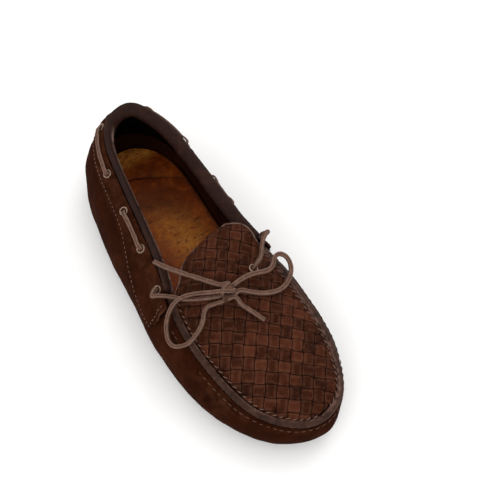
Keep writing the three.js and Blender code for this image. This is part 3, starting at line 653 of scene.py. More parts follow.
# ---------------------------------------------------------------- collar bands and heel strap
LACE_HEIGHT = 0.935
TUNNEL_FLAT = 0.05
TUNNEL_REACH = 0.135
STRAP_HALF = 0.48
BAND_START = 0.51
BAND_END = 5.75
EYELETS = [1.0, 2.5, 3.4, 4.3]
QUARTER_EYELET = {"lateral": 5.25, "medial": 5.4}
SIDES = [("lateral", 1), ("medial", -1)]


def band_inside(h):
    away = np.abs(h - LACE_HEIGHT) - TUNNEL_FLAT
    return GAP + TUNNEL * (1 - smooth(away / (TUNNEL_REACH - TUNNEL_FLAT)))


def band_lower(s):
    gone = np.abs(s)
    drop = 0.8 - 0.29 * smooth((gone - 3.2) / 2.1)
    corner = smooth((gone - 5.35) / (BAND_END - 5.35))
    return drop + 0.2 * corner * corner


def edge_round(share, reach):
    """1 over the middle of a sheet, falling in a quarter circle to 0.35 at either end."""
    near = np.clip(np.minimum(share, 1 - share) / reach, 0, 1)
    return 0.35 + 0.65 * np.sqrt(1 - (1 - near) ** 2)


def spaced(rows, fine=4):
    """Shares from 0 to 1, closer together at both ends."""
    ends = np.linspace(0, 0.03, fine, endpoint=False)
    return np.concatenate([ends, np.linspace(0.03, 0.97, rows), 1 - ends[::-1]])


def band(name, start, end, lower, sign, seats):
    along = spaced(int(abs(end - start) * 22), 3)
    stations = lerp(start, end, along) * sign
    up = spaced(44)
    s = np.broadcast_to(stations[:, None], (len(stations), len(up)))
    base = lower(s)
    h = base + (1 - base) * up[None, :]
    plain = shell_point(s, h)
    crown = edge_round(up, 0.03)[None, :] * edge_round(along, 0.008)[:, None]
    slack = ripple(plain, 14, 21) * 0.16 + ripple(plain, 5, 22) * 0.05
    dimple = np.zeros(s.shape)
    for seat in seats:
        middle = wall(sign * seat, LACE_HEIGHT, 0.0)
        away = np.linalg.norm(plain - middle, axis=-1)
        dimple = dimple + smooth((6.0 - away) / 3.0) * 0.55
    inside = band_inside(h)
    middle = inside + BAND / 2 - dimple
    outer = wall(s, h, middle + BAND / 2 * crown + slack)
    inner = wall(s, h, middle - BAND / 2 * crown)
    points, faces = slab(outer, inner)
    wear = np.clip((1 - crown) * 1.1, 0, 1) + smooth((inside - GAP) / TUNNEL - 0.35) * 0.22
    shade = smooth((0.06 - np.abs(up - 0.14)) / 0.05)[None, :] * 0.15 + np.zeros(s.shape)
    both = {"wear": np.concatenate([wear.ravel()] * 2), "shade": np.concatenate([shade.ravel()] * 2)}
    return piece(name, points, faces, BAND_SUEDE, both)


def band_stitches(name, start, end, sign, inset=3.2):
    """A row of stitches inside the band's lower edge and up its front end."""
    stations = np.linspace(start + 0.08, end - 0.3, 160)
    run = np.linalg.norm(shell_point(stations, 0.95) - shell_point(stations, 0.55), axis=-1)
    h = band_lower(stations) + inset * 0.4 / run
    front = 0.12
    stations = np.where(stations > end - front, end - front, stations)
    front_h = np.linspace(h[-1], 0.97, 20)[1:]
    s = np.concatenate([stations, np.full(19, end - front)]) * sign
    h = np.concatenate([h, front_h])
    face = band_inside(h) + BAND + 0.05
    path = evenly(wall(s, h, face), 1.0)
    out = shell_frame(s, h)[2]
    picks = np.linspace(0, len(out) - 1, len(path)).astype(int)
    return stitches(name, path, out[picks], THREAD, run=2.2, pause=1.3, thick=0.55)


for side, sign in SIDES:
    seats = [*EYELETS, QUARTER_EYELET[side]]
    made = band(f"collar_band_{side}_suede", BAND_START, BAND_END, band_lower, sign, seats)
    ride(made, "collar_suede", f"collar_band_{side}")
    ride(band_stitches(f"band_stitches_{side}", BAND_START, BAND_END, sign), "thong")

strap = band("heel_strap_suede", -STRAP_HALF, STRAP_HALF, lambda s: np.full(s.shape, 0.6), 1, [])
ride(strap, "collar_suede", "heel_strap")
for end in (-1, 1):
    h = np.linspace(0.62, 0.97, 60)
    s = np.full(60, end * (STRAP_HALF - 0.1))
    path = wall(s, h, band_inside(h) + BAND + 0.05)
    row = stitches(f"strap_stitches_{'lateral' if end > 0 else 'medial'}", path, shell_frame(s, h)[2],
                   DARK_THREAD, run=2.4, pause=1.3, thick=0.7)
    ride(row, "thong")


# ---------------------------------------------------------------- eyelets
def lathe(middle, out, profile, sides=36):
    """A ring turned about out. The profile is (radius, height) pairs and closes on itself."""
    out = unit(np.asarray(out, float))
    side = unit(np.cross(out, [0.3, 0.2, 0.9]))
    other = np.cross(out, side)
    turn = np.linspace(0, 2 * np.pi, sides, endpoint=False)
    profile = np.asarray(profile, float)
    circle = np.cos(turn)[:, None] * side + np.sin(turn)[:, None] * other
    points = middle + circle[:, None] * profile[None, :, :1] + out * profile[None, :, 1:]
    return points.reshape(-1, 3), grid_ring(sides, len(profile))


def eyelet_ring(middle, out, sheet):
    """A rolled rim with a short barrel through the sheet."""
    face = sheet / 2 + 0.05
    rolled = [(2.75 + 0.62 * math.cos(t), face + 0.42 * math.sin(t)) for t in np.linspace(-0.2, math.pi, 10)]
    barrel = [(2.12, 0), (2.12, -face), (3.2, -face - 0.05), (3.2, -face + 0.3), (2.6, -face + 0.3),
              (2.6, face - 0.3)]
    return lathe(middle, out, rolled + barrel)


def eyelet_seat(station):
    middle = wall(station, LACE_HEIGHT, GAP + TUNNEL + BAND / 2 - SEAT_SUNK)
    return middle, shell_frame(station, LACE_HEIGHT)[2]


for side, sign in SIDES:
    for i, station in enumerate([*EYELETS, QUARTER_EYELET[side]]):
        middle, out = eyelet_seat(sign * station)
        made = piece(f"eyelet_{side}_{i + 1}_ring", *eyelet_ring(middle, out, BAND), BRASS)
        ride(made, "eyelet", f"eyelet_{side}_{i + 1}")


# ---------------------------------------------------------------- linings
def lining(name, start, end, inside, thickness, replaced):
    s = np.linspace(start, end, int(abs(end - start) * 18))[:, None]
    h = np.linspace(0.36, 0.98, 40)[None, :]
    s, h = np.broadcast_arrays(s, h)
    plain = shell_point(s, h)
    slack = (ripple(plain, 22, 31) * 0.25 + ripple(plain, 8, 32) * 0.1) * smooth((h - 0.36) / 0.1)
    outer = wall(s, h, inside + thickness)
    inner = wall(s, h, inside + slack * 0.6)
    wear = smooth((h - 0.86) / 0.12) * 0.3
    both = {"wear": np.concatenate([wear.ravel()] * 2), "shade": np.zeros(2 * s.size)}
    made = piece(name, *slab(outer, inner), SHADED_LINING, both)
    return ride(made, "lining", replaced)


lining("heel_lining_leather", -3.2, 3.2, -SHELL - 2 * GAP - COUNTER - LINING, LINING, "heel_lining")
for side, sign in SIDES:
    lining(f"quarter_lining_{side}_leather", sign * 3.23, sign * 5.5, -SHELL - GAP - LINING, LINING,
           f"quarter_lining_{side}")

# ---------------------------------------------------------------- rolled edges
BINDING_END = 5.45
PIPING_FROM = 5.5
PIPING_TO = 14.35


def roll(name, start, end, width, height, offset, material, pucker, shine, grip, replaced):
    """A leather roll on the wall's upper edge, drawn in a little at each stitch."""
    stations = np.linspace(start, end, int(abs(end - start) * 34))
    _, along, out = shell_frame(stations, 1.0)
    rise = unit(np.cross(out, along))
    centre = wall(stations, 1.0, offset) + rise * (GAP + height / 2)
    run = np.concatenate([[0], np.cumsum(np.linalg.norm(np.diff(centre, axis=0), axis=1))])
    turn = np.linspace(0, 2 * np.pi, 28, endpoint=False)
    ends = np.clip(np.minimum(run, run[-1] - run) / (height / 2), 0, 1)
    close = np.sqrt(1 - (1 - ends) ** 2) * 0.97 + 0.03
    ring = (rise[:, None] * (np.cos(turn)[:, None] * height / 2)
            + out[:, None] * (np.sin(turn)[:, None] * width / 2))
    plain = centre[:, None] + ring
    pinch = 1 - pucker * (0.5 + 0.5 * np.cos(2 * np.pi * run / SEWN_PITCH)) ** 3
    wobble = 1 + 0.02 * ripple(plain, 14, 41) + 0.006 * ripple(plain, 5, 42)
    rings = centre[:, None] + ring * (close * pinch)[:, None, None] * wobble[..., None]
    points, faces = tube(rings)
    # Painted highlight: a pale line along the top of the roll, turned slightly inwards, fading in from station
    # 0.8 to 1.6; shine sets how pale it is and grip how narrow.
    inner = np.clip(np.cos(turn) * 0.96 - np.sin(turn) * 0.28, 0, 1)[None, :] ** grip
    outer_side = smooth((stations - 0.8) / 0.8)[:, None]
    wear = np.clip(shine * inner * outer_side * (0.85 + 0.15 * ripple(plain, 30, 43)), 0, 1)
    marks = {"wear": padded(wear), "shade": padded(np.zeros(wear.shape))}
    return ride(piece(name, points, faces, material, marks, crease=80), "rim_leather", replaced)


roll("collar_binding_roll", -BINDING_END, BINDING_END, BINDING_WIDTH, BINDING_HEIGHT, BINDING_OUT, ROLL,
     0.0, 1.0, 24, "collar_binding")
roll("apron_piping_roll", PIPING_FROM, PIPING_TO, PIPING, PIPING, -0.6, PIPE, 0.05, 0.7, 4, "apron_piping")


def wall_row(name, start, end, height, offset, material, **stitch):
    s = np.linspace(start, end, 600)
    return ride(stitches(name, wall(s, height, offset), shell_frame(s, height)[2], material, **stitch), "thong")


wall_row("toe_seam_stitches", 6.1, 14.0, 0.92, 0.6, DARK_THREAD, run=3.2, pause=1.4, thick=0.65, lean=0.1)

# ---------------------------------------------------------------- woven apron and tongue
APRON_END = {"lateral": 5.6, "medial": 14.15}
TONGUE_TIP = 2.5
TONGUE_WAIST = 0.15
TONGUE_LEAN = 8.0
TONGUE_LIFT = 9.0
TONGUE_RISE = 4.0


def apron_edge(s):
    up, _, out = shell_frame(s, 1.0)
    return shell_point(s, 1.0) + up * (3 * GAP + PIPING) - out


def apron_point(share, across):
    share, across = np.broadcast_arrays(np.asarray(share, float), np.asarray(across, float))
    outer = apron_edge(TOE + (APRON_END["lateral"] - TOE) * share)
    inner = apron_edge(TOE + (APRON_END["medial"] - TOE) * share)
    point = lerp(outer, inner, ((across + 1) / 2)[..., None])
    point[..., 2] += CROWN * np.sin(np.minimum(1, share) * np.pi / 2) * (1 - across**2)
    return point


def tongue_point(share, across):
    share, across = np.broadcast_arrays(np.asarray(share, float), np.asarray(across, float))
    start = apron_point(np.ones(share.shape), across)
    middle = apron_point(np.ones(share.shape), np.zeros(share.shape))
    waist = 1 - TONGUE_WAIST * smooth(share * 2.5)
    rounded = np.cbrt(1 - np.clip(share, 0, 1) ** 3)
    arch = np.where(across < 0, share, TONGUE_LIFT * smooth(share * 2.2))
    x = middle[..., 0] + (start[..., 0] - middle[..., 0]) * waist * rounded + TONGUE_LEAN * share
    y = start[..., 1] + (TONGUE_TIP - start[..., 1]) * share
    z = start[..., 2] + TONGUE_RISE * share + across**2 * (arch + TONGUE_RISE * (1 - rounded))
    return np.stack([x, y, z], -1)


def vamp_point(share, across):
    share, across = np.broadcast_arrays(np.asarray(share, float), np.asarray(across, float))
    return np.where((share <= 1)[..., None], apron_point(share, across), tongue_point(share - 1, across))


VAMP_TO = 1.985
vamp_share = np.concatenate([np.linspace(0.0, 0.2, 30, endpoint=False),
                             np.linspace(0.2, 1.9, 240, endpoint=False),
                             np.linspace(1.9, VAMP_TO, 24)])
vamp_across = np.linspace(-1, 1, 121)
vamp_grid = vamp_point(vamp_share[:, None], vamp_across[None, :])
vamp_tree = BVHTree.FromPolygons(vamp_grid.reshape(-1, 3).tolist(),
                                 grid_faces(len(vamp_share), len(vamp_across)).tolist())
vamp_outline = np.concatenate([vamp_grid[:, 0], vamp_grid[::-1, -1]])


def on_vamp(x, y):
    """The top face and its normal above a place in plan."""
    hit, normal, _, _ = vamp_tree.ray_cast(Vector((x, y, 200)), Vector((0, 0, -1)))
    if hit is None:
        hit = Vector((x, y, 45))
        for _ in range(6):
            hit, normal, _, _ = vamp_tree.find_nearest(Vector((x, y, hit.z)))
    if normal.z < 0:
        normal = -normal
    return (x, y, hit.z), normal


def crossing(origin, direction):
    """Where a line in plan enters and leaves the vamp's outline, as distances along it."""
    a = vamp_outline[:, :2]
    b = np.roll(a, -1, axis=0)
    normal = np.array([-direction[1], direction[0]])
    da = (a - origin) @ normal
    db = (b - origin) @ normal
    cut = (da > 0) != (db > 0)
    if cut.sum() < 2:
        return None
    t = (da[cut] / (da[cut] - db[cut]))[:, None]
    at = ((a[cut] + (b[cut] - a[cut]) * t) - origin) @ direction
    return at.min(), at.max()


STRIP_PITCH = 7.7
STRIP_ANGLE = math.radians(-36)
STRIP_WAVE = 0.75
STRIP_THICK = 0.85
WEAVE_ORIGIN = np.array([2.0, -60.0])


def weave():
    rng = np.random.default_rng(7)
    row = np.array([math.cos(STRIP_ANGLE), math.sin(STRIP_ANGLE)])
    column = np.array([-row[1], row[0]])
    made, tones, wears_and_highlights, shades = [], [], [], []
    for family, (run, over) in enumerate(((row, column), (column, row))):
        for index in range(-14, 15):
            line = WEAVE_ORIGIN + over * index * STRIP_PITCH
            spread = np.linspace(-1, 1, 41)
            hits = [crossing(line + over * v * STRIP_PITCH / 2, run) for v in spread]
            inside = [v for v, hit in zip(spread, hits) if hit and hit[1] - hit[0] > 2.0]
            if len(inside) < 4:
                continue
            v_top = np.linspace(inside[0], inside[-1], 13)
            ranges = [crossing(line + over * v * STRIP_PITCH / 2 * 0.995, run) for v in v_top]
            if any(r is None for r in ranges):
                continue
            longest = max(r[1] - r[0] for r in ranges)
            steps = max(8, int(longest / 0.8))
            tone = rng.uniform(0.15, 0.85)
            tilt = rng.uniform(-0.12, 0.12)
            sway = rng.uniform(-0.25, 0.25)
            section = [(v, 1) for v in v_top] + [(v, -1) for v in v_top[::-1]]
            rings, tone_ring, highlight_ring, shade_ring = [], [], [], []
            for k in range(steps + 1):
                ring = []
                for place, (v, face) in enumerate(section):
                    near = ranges[place if face > 0 else 2 * len(v_top) - 1 - place]
                    p = lerp(near[0], near[1], k / steps)
                    u = p / STRIP_PITCH
                    sign = 1 if index % 2 == 0 else -1
                    swing = sign * math.cos(math.pi * u) * (1 if family == 0 else -1)
                    to_end = float(smooth(min(p - near[0], near[1] - p) / 3.0))
                    height = STRIP_WAVE * math.tanh(2.2 * (swing - 0.35)) * to_end
                    narrow = 0.96 - 0.03 * max(0.0, -swing)
                    edge = abs(v) ** 5
                    cup = 0.34 * v**4
                    half = STRIP_THICK / 2 * (1 - 0.5 * edge)
                    wander = sway * 0.5 * math.sin(u * 1.7 + index)
                    x, y = line + over * (v * narrow * STRIP_PITCH / 2 + wander) + run * p
                    base, normal = on_vamp(x, y)
                    depth = -1.05 + height + face * half - cup + tilt * v
                    ring.append(tuple(b + n * depth for b, n in zip(base, normal)))
                    cell = math.sin(12.9898 * round(u) + 78.233 * index + family * 37.7) * 43758.5453
                    tone_ring.append(tone * 0.55 + (cell % 1) * 0.45)
                    # Painted highlight on the raised edges of a strip where it lies on top, and on the slopes
                    # where it bends over a crossing; painted shade where it dips under one.
                    rim = 0.55 * smooth((abs(v) - 0.82) / 0.16) * max(0.0, swing) ** 0.5
                    bend = smooth((0.62 - abs(swing - 0.35)) / 0.5) * 0.25 if swing > 0.1 else 0
                    highlight_ring.append(float(max(rim, bend)) if face > 0 else 0)
                    shade_ring.append(float(smooth((0.42 - swing) / 0.5)) * 0.95)
                rings.append(ring)
            made.append(tube(np.array(rings)))
            tones.extend([*tone_ring, tone, tone])
            wears_and_highlights.extend([*highlight_ring, 0, 0])
            shades.extend([*shade_ring, 0, 0])
    points, faces = gather(made)
    return piece("woven_vamp", points, faces, WOVEN, {"tone": tones, "wear": wears_and_highlights, "shade": shades}, crease=60)


def bends(made, slot, *replaced):
    """A piece of the vamp: its placement is baked into its mesh, and the CAD parts it replaces are hidden."""
    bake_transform(made)
    if replaced:
        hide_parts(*replaced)
    return made


bends(weave(), "woven_leather", "apron_weave", "tongue_weave")


def vamp_normals(share, across):
    step = 0.004
    along = vamp_point(share + step, across) - vamp_point(np.maximum(share - step, 0), across)
    over = vamp_point(share, np.minimum(across + step, 1)) - vamp_point(share, np.maximum(across - step, -1))
    normal = unit(np.cross(over, along))
    return normal * np.where(normal[..., 2:] < 0, -1, 1)


def vamp_backing():
    share = np.linspace(0.1, 1.95, 150)[:, None]
    across = np.linspace(-0.95, 0.95, 60)[None, :]
    share, across = np.broadcast_arrays(share, across)
    top = vamp_point(share, across)
    normal = vamp_normals(share, across)
    outer = top - normal * (WEAVE + 0.1)
    inner = outer - normal * LINING
    made = piece("vamp_lining", *slab(outer, inner), SHADED_LINING,
                 {"wear": np.zeros(2 * share.size), "shade": np.zeros(2 * share.size)})
    return bends(made, "lining", "apron_lining", "tongue_lining")


vamp_backing()


def vamp_edge_path(start, end, across, count):
    """Points near the vamp's rim, from one side round the tip of the tongue."""
    share = np.linspace(start, end, count)
    side = np.full(count, across)
    return vamp_point(share, side), vamp_normals(share, side)


def tongue_edge():
    """The thin leather edge that binds the tongue."""
    out_path, out_normal = vamp_edge_path(1.0, VAMP_TO, -1.0, 220)
    in_path, in_normal = vamp_edge_path(1.0, VAMP_TO, 1.0, 220)
    path = np.concatenate([out_path, in_path[::-1]]) - np.concatenate([out_normal, in_normal[::-1]]) * 1.1
    centre = evenly(path, 0.8)
    picks = np.linspace(0, len(path) - 1, len(centre))
    normal = np.concatenate([out_normal, in_normal[::-1]])
    normal = unit(picked(picks, normal))
    along = directions(centre)
    side = unit(np.cross(along, normal))
    turn = np.linspace(0, 2 * np.pi, 14, endpoint=False)
    rings = (centre[:, None] + side[:, None] * np.cos(turn)[:, None] * 0.8
             + normal[:, None] * np.sin(turn)[:, None] * 1.35)
    points, faces = tube(rings)
    # Painted highlight: the edge paler along its top.
    top = np.clip(np.sin(turn), 0, 1)[None, :] ** 3 * np.ones((len(centre), 1)) * 0.55
    marks = {"wear": padded(top), "shade": np.zeros(len(points))}
    return bends(piece("tongue_edge", points, faces, PIPE, marks, crease=80), "rim_leather")


tongue_edge()


def apron_stitches():
    """Slanting stitches that sew the woven apron to the piping."""
    share = np.concatenate([np.linspace(1.0, 0.1, 300), np.linspace(0.1, 1.0, 300)])
    across = np.concatenate([np.full(300, -1.0), np.full(300, 1.0)])
    edge = vamp_point(share, across)
    middle = vamp_point(share, across * 0.5)
    inward = unit(middle - edge)
    path = edge + inward * 1.3
    lateral, medial = path[:300], path[300:]
    gap = lateral[-1] - medial[0]
    bridge = [lateral[-1] - gap * t + [0, -2.6 * math.sin(math.pi * t), 0]
              for t in np.linspace(0.05, 0.95, 40)]
    path = evenly(np.concatenate([lateral, bridge, medial]), 1.0)
    lifted, normals = [], []
    for x, y, _ in path:
        place, normal = on_vamp(x, y)
        lifted.append(place)
        normals.append(tuple(normal))
    made = stitches("apron_stitches", np.array(lifted), np.array(normals), THREAD,
                    run=2.9, pause=1.5, thick=0.8, lean=0.6, sink=0.2)
    return ride(made, "thong")


apron_stitches()

# ---------------------------------------------------------------- lace
APRON_EYELET = (0.92, 0.53)
LACE_SLIT = (0.88, -0.12)


def vamp_seat(share, across, depth):
    share, across = np.array(share), np.array(across)
    normal = vamp_normals(share, across)
    return vamp_point(share, across) - normal * depth, normal


middle, out = vamp_seat(*APRON_EYELET, WEAVE / 2 - 1.3)
ride(piece("eyelet_apron_ring", *eyelet_ring(middle, out, WEAVE), BRASS), "eyelet", "eyelet_apron")

LACE_ON_SHELL = GAP + LACE_THICKNESS / 2
BAND_FACE = GAP + TUNNEL + BAND
LACE_ON_BAND = BAND_FACE + GAP + LACE_THICKNESS / 2
LACE_ON_EYELET = LACE_ON_BAND + 0.7


def lace_section(path, normal, width, thickness, name, ends=True):
    """A cut leather thong: a rounded oblong section that twists and swells a little along its length."""
    along = directions(path)
    side = unit(np.cross(along, normal))
    normal = unit(np.cross(side, along))
    turn = np.linspace(0, 2 * np.pi, 16, endpoint=False)
    power = 0.72
    a = np.sign(np.cos(turn)) * np.abs(np.cos(turn)) ** power
    b = np.sign(np.sin(turn)) * np.abs(np.sin(turn)) ** power
    plain = (path[:, None] + side[:, None] * (a[:, None] * width / 2)
             + normal[:, None] * (b[:, None] * thickness / 2))
    swell = 1 + 0.05 * ripple(plain, 11, 51) + 0.045 * ripple(plain, 3, 52)
    if ends:
        swell[0] *= 0.82
        swell[-1] *= 0.82
    rings = path[:, None] + (plain - path[:, None]) * swell[..., None]
    points, faces = tube(rings)
    corner = np.clip(np.abs(a * b) * 2.4, 0, 1)[None, :] ** 2 * np.ones((len(path), 1))
    wear = np.clip(corner * 0.6 + 0.12, 0, 1)
    marks = {"wear": padded(wear, last=CUT_END_WEAR), "shade": np.zeros(len(points))}
    return piece(name, points, faces, THONG, marks, crease=70)


def stations_for(station, distance):
    step = 0.05
    run = np.linalg.norm(shell_point(station + step, LACE_HEIGHT) - shell_point(station, LACE_HEIGHT))
    return distance * step / run


def through_eyelet(station, turn):
    steps = [(-4.5, LACE_ON_SHELL), (-1.5, LACE_ON_SHELL + 0.5), (0, BAND_FACE - BAND / 2),
             (1.5, LACE_ON_EYELET - 0.2), (4.5, LACE_ON_EYELET)]
    points = [(station + turn * stations_for(station, distance), offset) for distance, offset in steps]
    return points if turn > 0 else points[::-1]


def collar_lace():
    last, first = QUARTER_EYELET["lateral"], -QUARTER_EYELET["medial"]
    passes = [(-e, -1 if i % 2 else 1) for i, e in enumerate(EYELETS[::-1])]
    passes += [(e, -1 if i % 2 else 1) for i, e in enumerate(EYELETS)]
    knots = through_eyelet(first, -1)[2:]
    for station, turn in passes:
        knots += through_eyelet(station, turn)
    knots += through_eyelet(last, 1)[:3]
    route = []
    for i, (station, offset) in enumerate(knots):
        route.append((station, offset))
        if i + 1 == len(knots):
            continue
        ahead = knots[i + 1][0]
        if ahead - station > 0.3:
            level = LACE_ON_BAND if offset > BAND_FACE else LACE_ON_SHELL
            for extra in np.linspace(station, ahead, int((ahead - station) * 10) + 1)[1:-1]:
                route.append((extra, level))
    s, offset = np.array(route).T
    h = np.full(len(s), LACE_HEIGHT)
    path = through(wall(s, h, offset), 0.8)
    base = wall(np.linspace(s[0], s[-1], 1200), np.full(1200, LACE_HEIGHT), np.zeros(1200))
    out = shell_frame(np.linspace(s[0], s[-1], 1200), np.full(1200, LACE_HEIGHT))[2]
    nearest = np.array([np.argmin(((base - p) ** 2).sum(1)) for p in path])
    made = lace_section(path, out[nearest], LACE_WIDTH, LACE_THICKNESS, "lace_in_collar")
    return ride(made, "thong", "lace_collar")


collar_lace()

LACE_CROSSING = [
    (45, -10.6, 50.6), (43.6, -12.2, 54), (40.4, -14.4, 56), (36.6, -17.6, 56.6), (33.4, -21.4, 56.3),
    (30.6, -25.2, 56.6), (27.6, -28.8, 58), (24, -31.6, 60.4),
]
STRAND_LATERAL = [
    (-46.8, -12.3, 49.6), (-45, -14.8, 52.2), (-40.8, -18, 53.2), (-35.5, -22, 52.7), (-31.8, -26.5, 53.9),
    (-25, -32.5, 56.6), (-17, -37.3, 58.8), (-10.2, -40.5, 60),
]
LOOP_LEFT = [
    (-10.2, -38.6, 63.6), (-15, -36, 62.6), (-20, -32.7, 61.3), (-26, -29.4, 59.6), (-32, -27.3, 57.8),
    (-37.5, -27.2, 55.2), (-43, -29.5, 51.5), (-47.5, -33.5, 47.5), (-50.5, -38.5, 44), (-51.8, -43.5, 42),
    (-50.5, -48.2, 42), (-46.5, -51.5, 44), (-41.5, -53, 46.5), (-36.5, -52, 49), (-31.3, -49.8, 51),
    (-27, -46.6, 53.2), (-24, -43, 55), (-21, -41.2, 56), (-17, -42.2, 57.4),
    (-13.5, -43.6, 58.8), (-9.8, -44.6, 60),
]
LOOP_RIGHT = [
    (1.4, -39, 62.8), (6, -38.2, 62.8), (12, -38, 62.4), (18, -38.5, 61.2), (24, -39.5, 59.3),
    (29, -39, 57.5), (33, -36, 56), (36.5, -32.5, 55.5), (40.5, -31.2, 54.8), (44, -33.5, 53.2),
    (45, -38, 51.3), (43.3, -43, 50), (39.5, -47.5, 49.8), (34.5, -51, 50.3), (28, -53.2, 51.8),
    (21, -53, 54.2), (14.5, -51, 56.4), (8.5, -47.8, 58.8), (1.6, -43.6, 60.8),
]
TAIL_LEFT = [
    (-6.8, -34.8, 62.8), (-12, -28.7, 62.4), (-18.5, -20, 61.5), (-25, -11, 60.2), (-30.5, -2.5, 58.8),
    (-35, 6, 57.6),
]
TAIL_RIGHT = [
    (-2.6, -46.4, 60.4), (-1.6, -51.8, 58.6), (1.4, -57.2, 56.4), (4.4, -62.6, 54.6), (6.8, -67.6, 53.6),
]
KNOT_TURNS = [
    ((-4.4, -40.4, 62.4), (0.5, 0.86, 0), (3.8, 4.8), 4.4),
    ((-8.4, -43.6, 60.6), (0.92, -0.4, 0), (3.0, 3.2), 3.4),
]
KNOT_OUTER = [(-4.5, -41, 60.2), (-1.2, -42.2, 62.4), (-3.6, -43.2, 65), (-7.6, -41, 65.6)]
KNOT_INNER = [
    (-3.4, -44.6, 60.2), (-7.4, -43.4, 60.6), (-8.6, -40.6, 63.2), (-5.6, -38.6, 66.2), (-2.4, -37.2, 64.4),
]


def out_of_bore(middle, out):
    return [tuple(middle + out * distance) for distance in (1.2, 2.8)]


def free_lace(name, points, first, replaced):
    path = through(points, 0.8)
    made = lace_section(path, carried(path, first), LACE_WIDTH, LACE_WIDTH * 0.86, name)
    ride(made, "thong", *replaced)
    print(name, "is", round(length_of(path), 1), "mm long")
    return made


middle, out = eyelet_seat(-QUARTER_EYELET["medial"])
apron_middle, apron_out = vamp_seat(*APRON_EYELET, WEAVE / 2)
crossing_points = out_of_bore(middle, out) + LACE_CROSSING + out_of_bore(apron_middle, apron_out)[::-1]
path = through(crossing_points, 0.8)
ride(lace_section(path, carried(path, (0, 0, 1)), LACE_WIDTH, LACE_WIDTH * 0.8, "lace_over_collar"),
     "thong", "lace_crossing")

middle, out = eyelet_seat(QUARTER_EYELET["lateral"])
free_lace("lace_outer_end", out_of_bore(middle, out) + STRAND_LATERAL + KNOT_OUTER + LOOP_LEFT + TAIL_RIGHT,
          (0, 0, 1), ("lace_strand", "bow_loop_left", "bow_tail_right"))
middle, out = vamp_seat(*LACE_SLIT, 0.4)
free_lace("lace_inner_end", [tuple(middle), tuple(middle + out * 2.5)] + LOOP_RIGHT + KNOT_INNER + TAIL_LEFT,
          (1, 0, 0), ("bow_loop_right", "bow_tail_left", "bow_knot"))


def knot():
    """The turns of the knot: short lengths of the lace, each wrapped once round the strands that it holds."""
    made, wears_and_highlights = [], []
    turn = np.linspace(0, 2 * np.pi, 48, endpoint=False)
    cut = np.linspace(0, 2 * np.pi, 16, endpoint=False)
    for middle, axis, (across, rise), width in KNOT_TURNS:
        axis = unit(np.asarray(axis, float))
        side = unit(np.cross([0, 0, 1], axis))
        up = np.array([0.0, 0, 1])
        rings = []
        for angle in turn:
            out = side * math.cos(angle) + up * math.sin(angle)
            centre = middle + side * (across - 0.8) * math.cos(angle) + up * (rise - 0.8) * math.sin(angle)
            swell = 1 + 0.08 * math.sin(2 * angle + width)
            rings.append(centre + np.cos(cut)[:, None] * out * 0.95 * swell
                         + np.sin(cut)[:, None] * axis * width / 2 * swell)
        rings = np.array(rings)
        made.append((rings.reshape(-1, 3), grid_ring(len(turn), len(cut))))
        wears_and_highlights.append(np.clip(np.sin(cut) ** 2 * 0.35 + 0.1, 0, 1)[None, :].repeat(len(turn), 0).ravel())
    points, faces = gather(made)
    wear = np.concatenate(wears_and_highlights)
    return ride(piece("lace_knot_turns", points, faces, THONG, {"wear": wear, "shade": np.zeros(len(points))},
                      crease=80), "thong")


knot()


def under_apron_lace():
    stops = [(0, WEAVE / 2), (0.04, 2.8), (0.1, 4.0), (0.5, 4.0), (0.9, 4.0), (0.96, 2.8), (1, 0.4)]
    points, normals = [], []
    for t, deep in stops:
        share = lerp(APRON_EYELET[0], LACE_SLIT[0], t)
        across = lerp(APRON_EYELET[1], LACE_SLIT[1], t)
        point, normal = vamp_seat(share, across, deep)
        points.append(point)
        normals.append(normal)
    path = through(points, 0.8)
    picks = np.linspace(0, len(points) - 1, len(path))
    normal = unit(picked(picks, np.array(normals)))
    made = lace_section(path, normal, LACE_WIDTH, LACE_THICKNESS, "lace_below_apron")
    return ride(made, "thong", "lace_under_apron")


under_apron_lace()


# ---------------------------------------------------------------- footbed and heel pad
def outline_at(inset):
    """The left and right edges of a plan outline, as functions of the place along the shoe."""
    s = np.linspace(0, 10, 400)
    left = on_loop(WIDEST, s) - plan_normal(s) * inset
    s = np.linspace(10, 20, 400)
    right = on_loop(WIDEST, s) - plan_normal(s) * inset
    heel = max(left[:, 1].max(), right[:, 1].max())
    toe = min(left[:, 1].min(), right[:, 1].min())

    def edges(y):
        a, b = np.argsort(left[:, 1]), np.argsort(right[:, 1])
        return np.interp(y, left[a, 1], left[a, 0]), np.interp(y, right[b, 1], right[b, 0])

    return edges, toe, heel


def flat_piece(name, inset, front, bottom, top, relief, marks, replaced):
    """A leather piece that lies in the shoe. Front gives its front edge as a function of the place across."""
    edges, toe, heel = outline_at(inset)
    rows, columns = 220, 90
    v = (1 - np.cos(np.linspace(0, np.pi, columns))) / 2
    u = np.concatenate([np.linspace(0, 0.06, 20, endpoint=False), np.linspace(0.06, 0.94, rows - 40),
                        np.linspace(1, 0.94, 20, endpoint=False)[::-1]])
    y = np.stack([lerp(max(toe + END_GAP, front(place)), heel - END_GAP, u) for place in v], 1)
    left, right = edges(y)
    x = lerp(left, right, v[None, :])
    from_side = np.minimum(v[None, :], 1 - v[None, :]) * (right - left)
    rim = np.minimum(from_side, np.minimum(u, 1 - u)[:, None] * 60)
    rounded = np.sqrt(np.clip(1 - (1 - np.clip(rim / 0.9, 0, 1)) ** 2, 0, 1))
    height = bottom + (top - bottom) * (0.45 + 0.55 * rounded) + relief(x, y, rim)
    outer = np.stack([x, y, height], -1)
    inner = np.stack([x, y, np.full(x.shape, bottom)], -1)
    named = {key: padded(value, value.size) for key, value in marks(x, y, rim).items()}
    return ride(piece(name, *slab(outer, inner), INSOLE, named, crease=60), "insole", replaced)


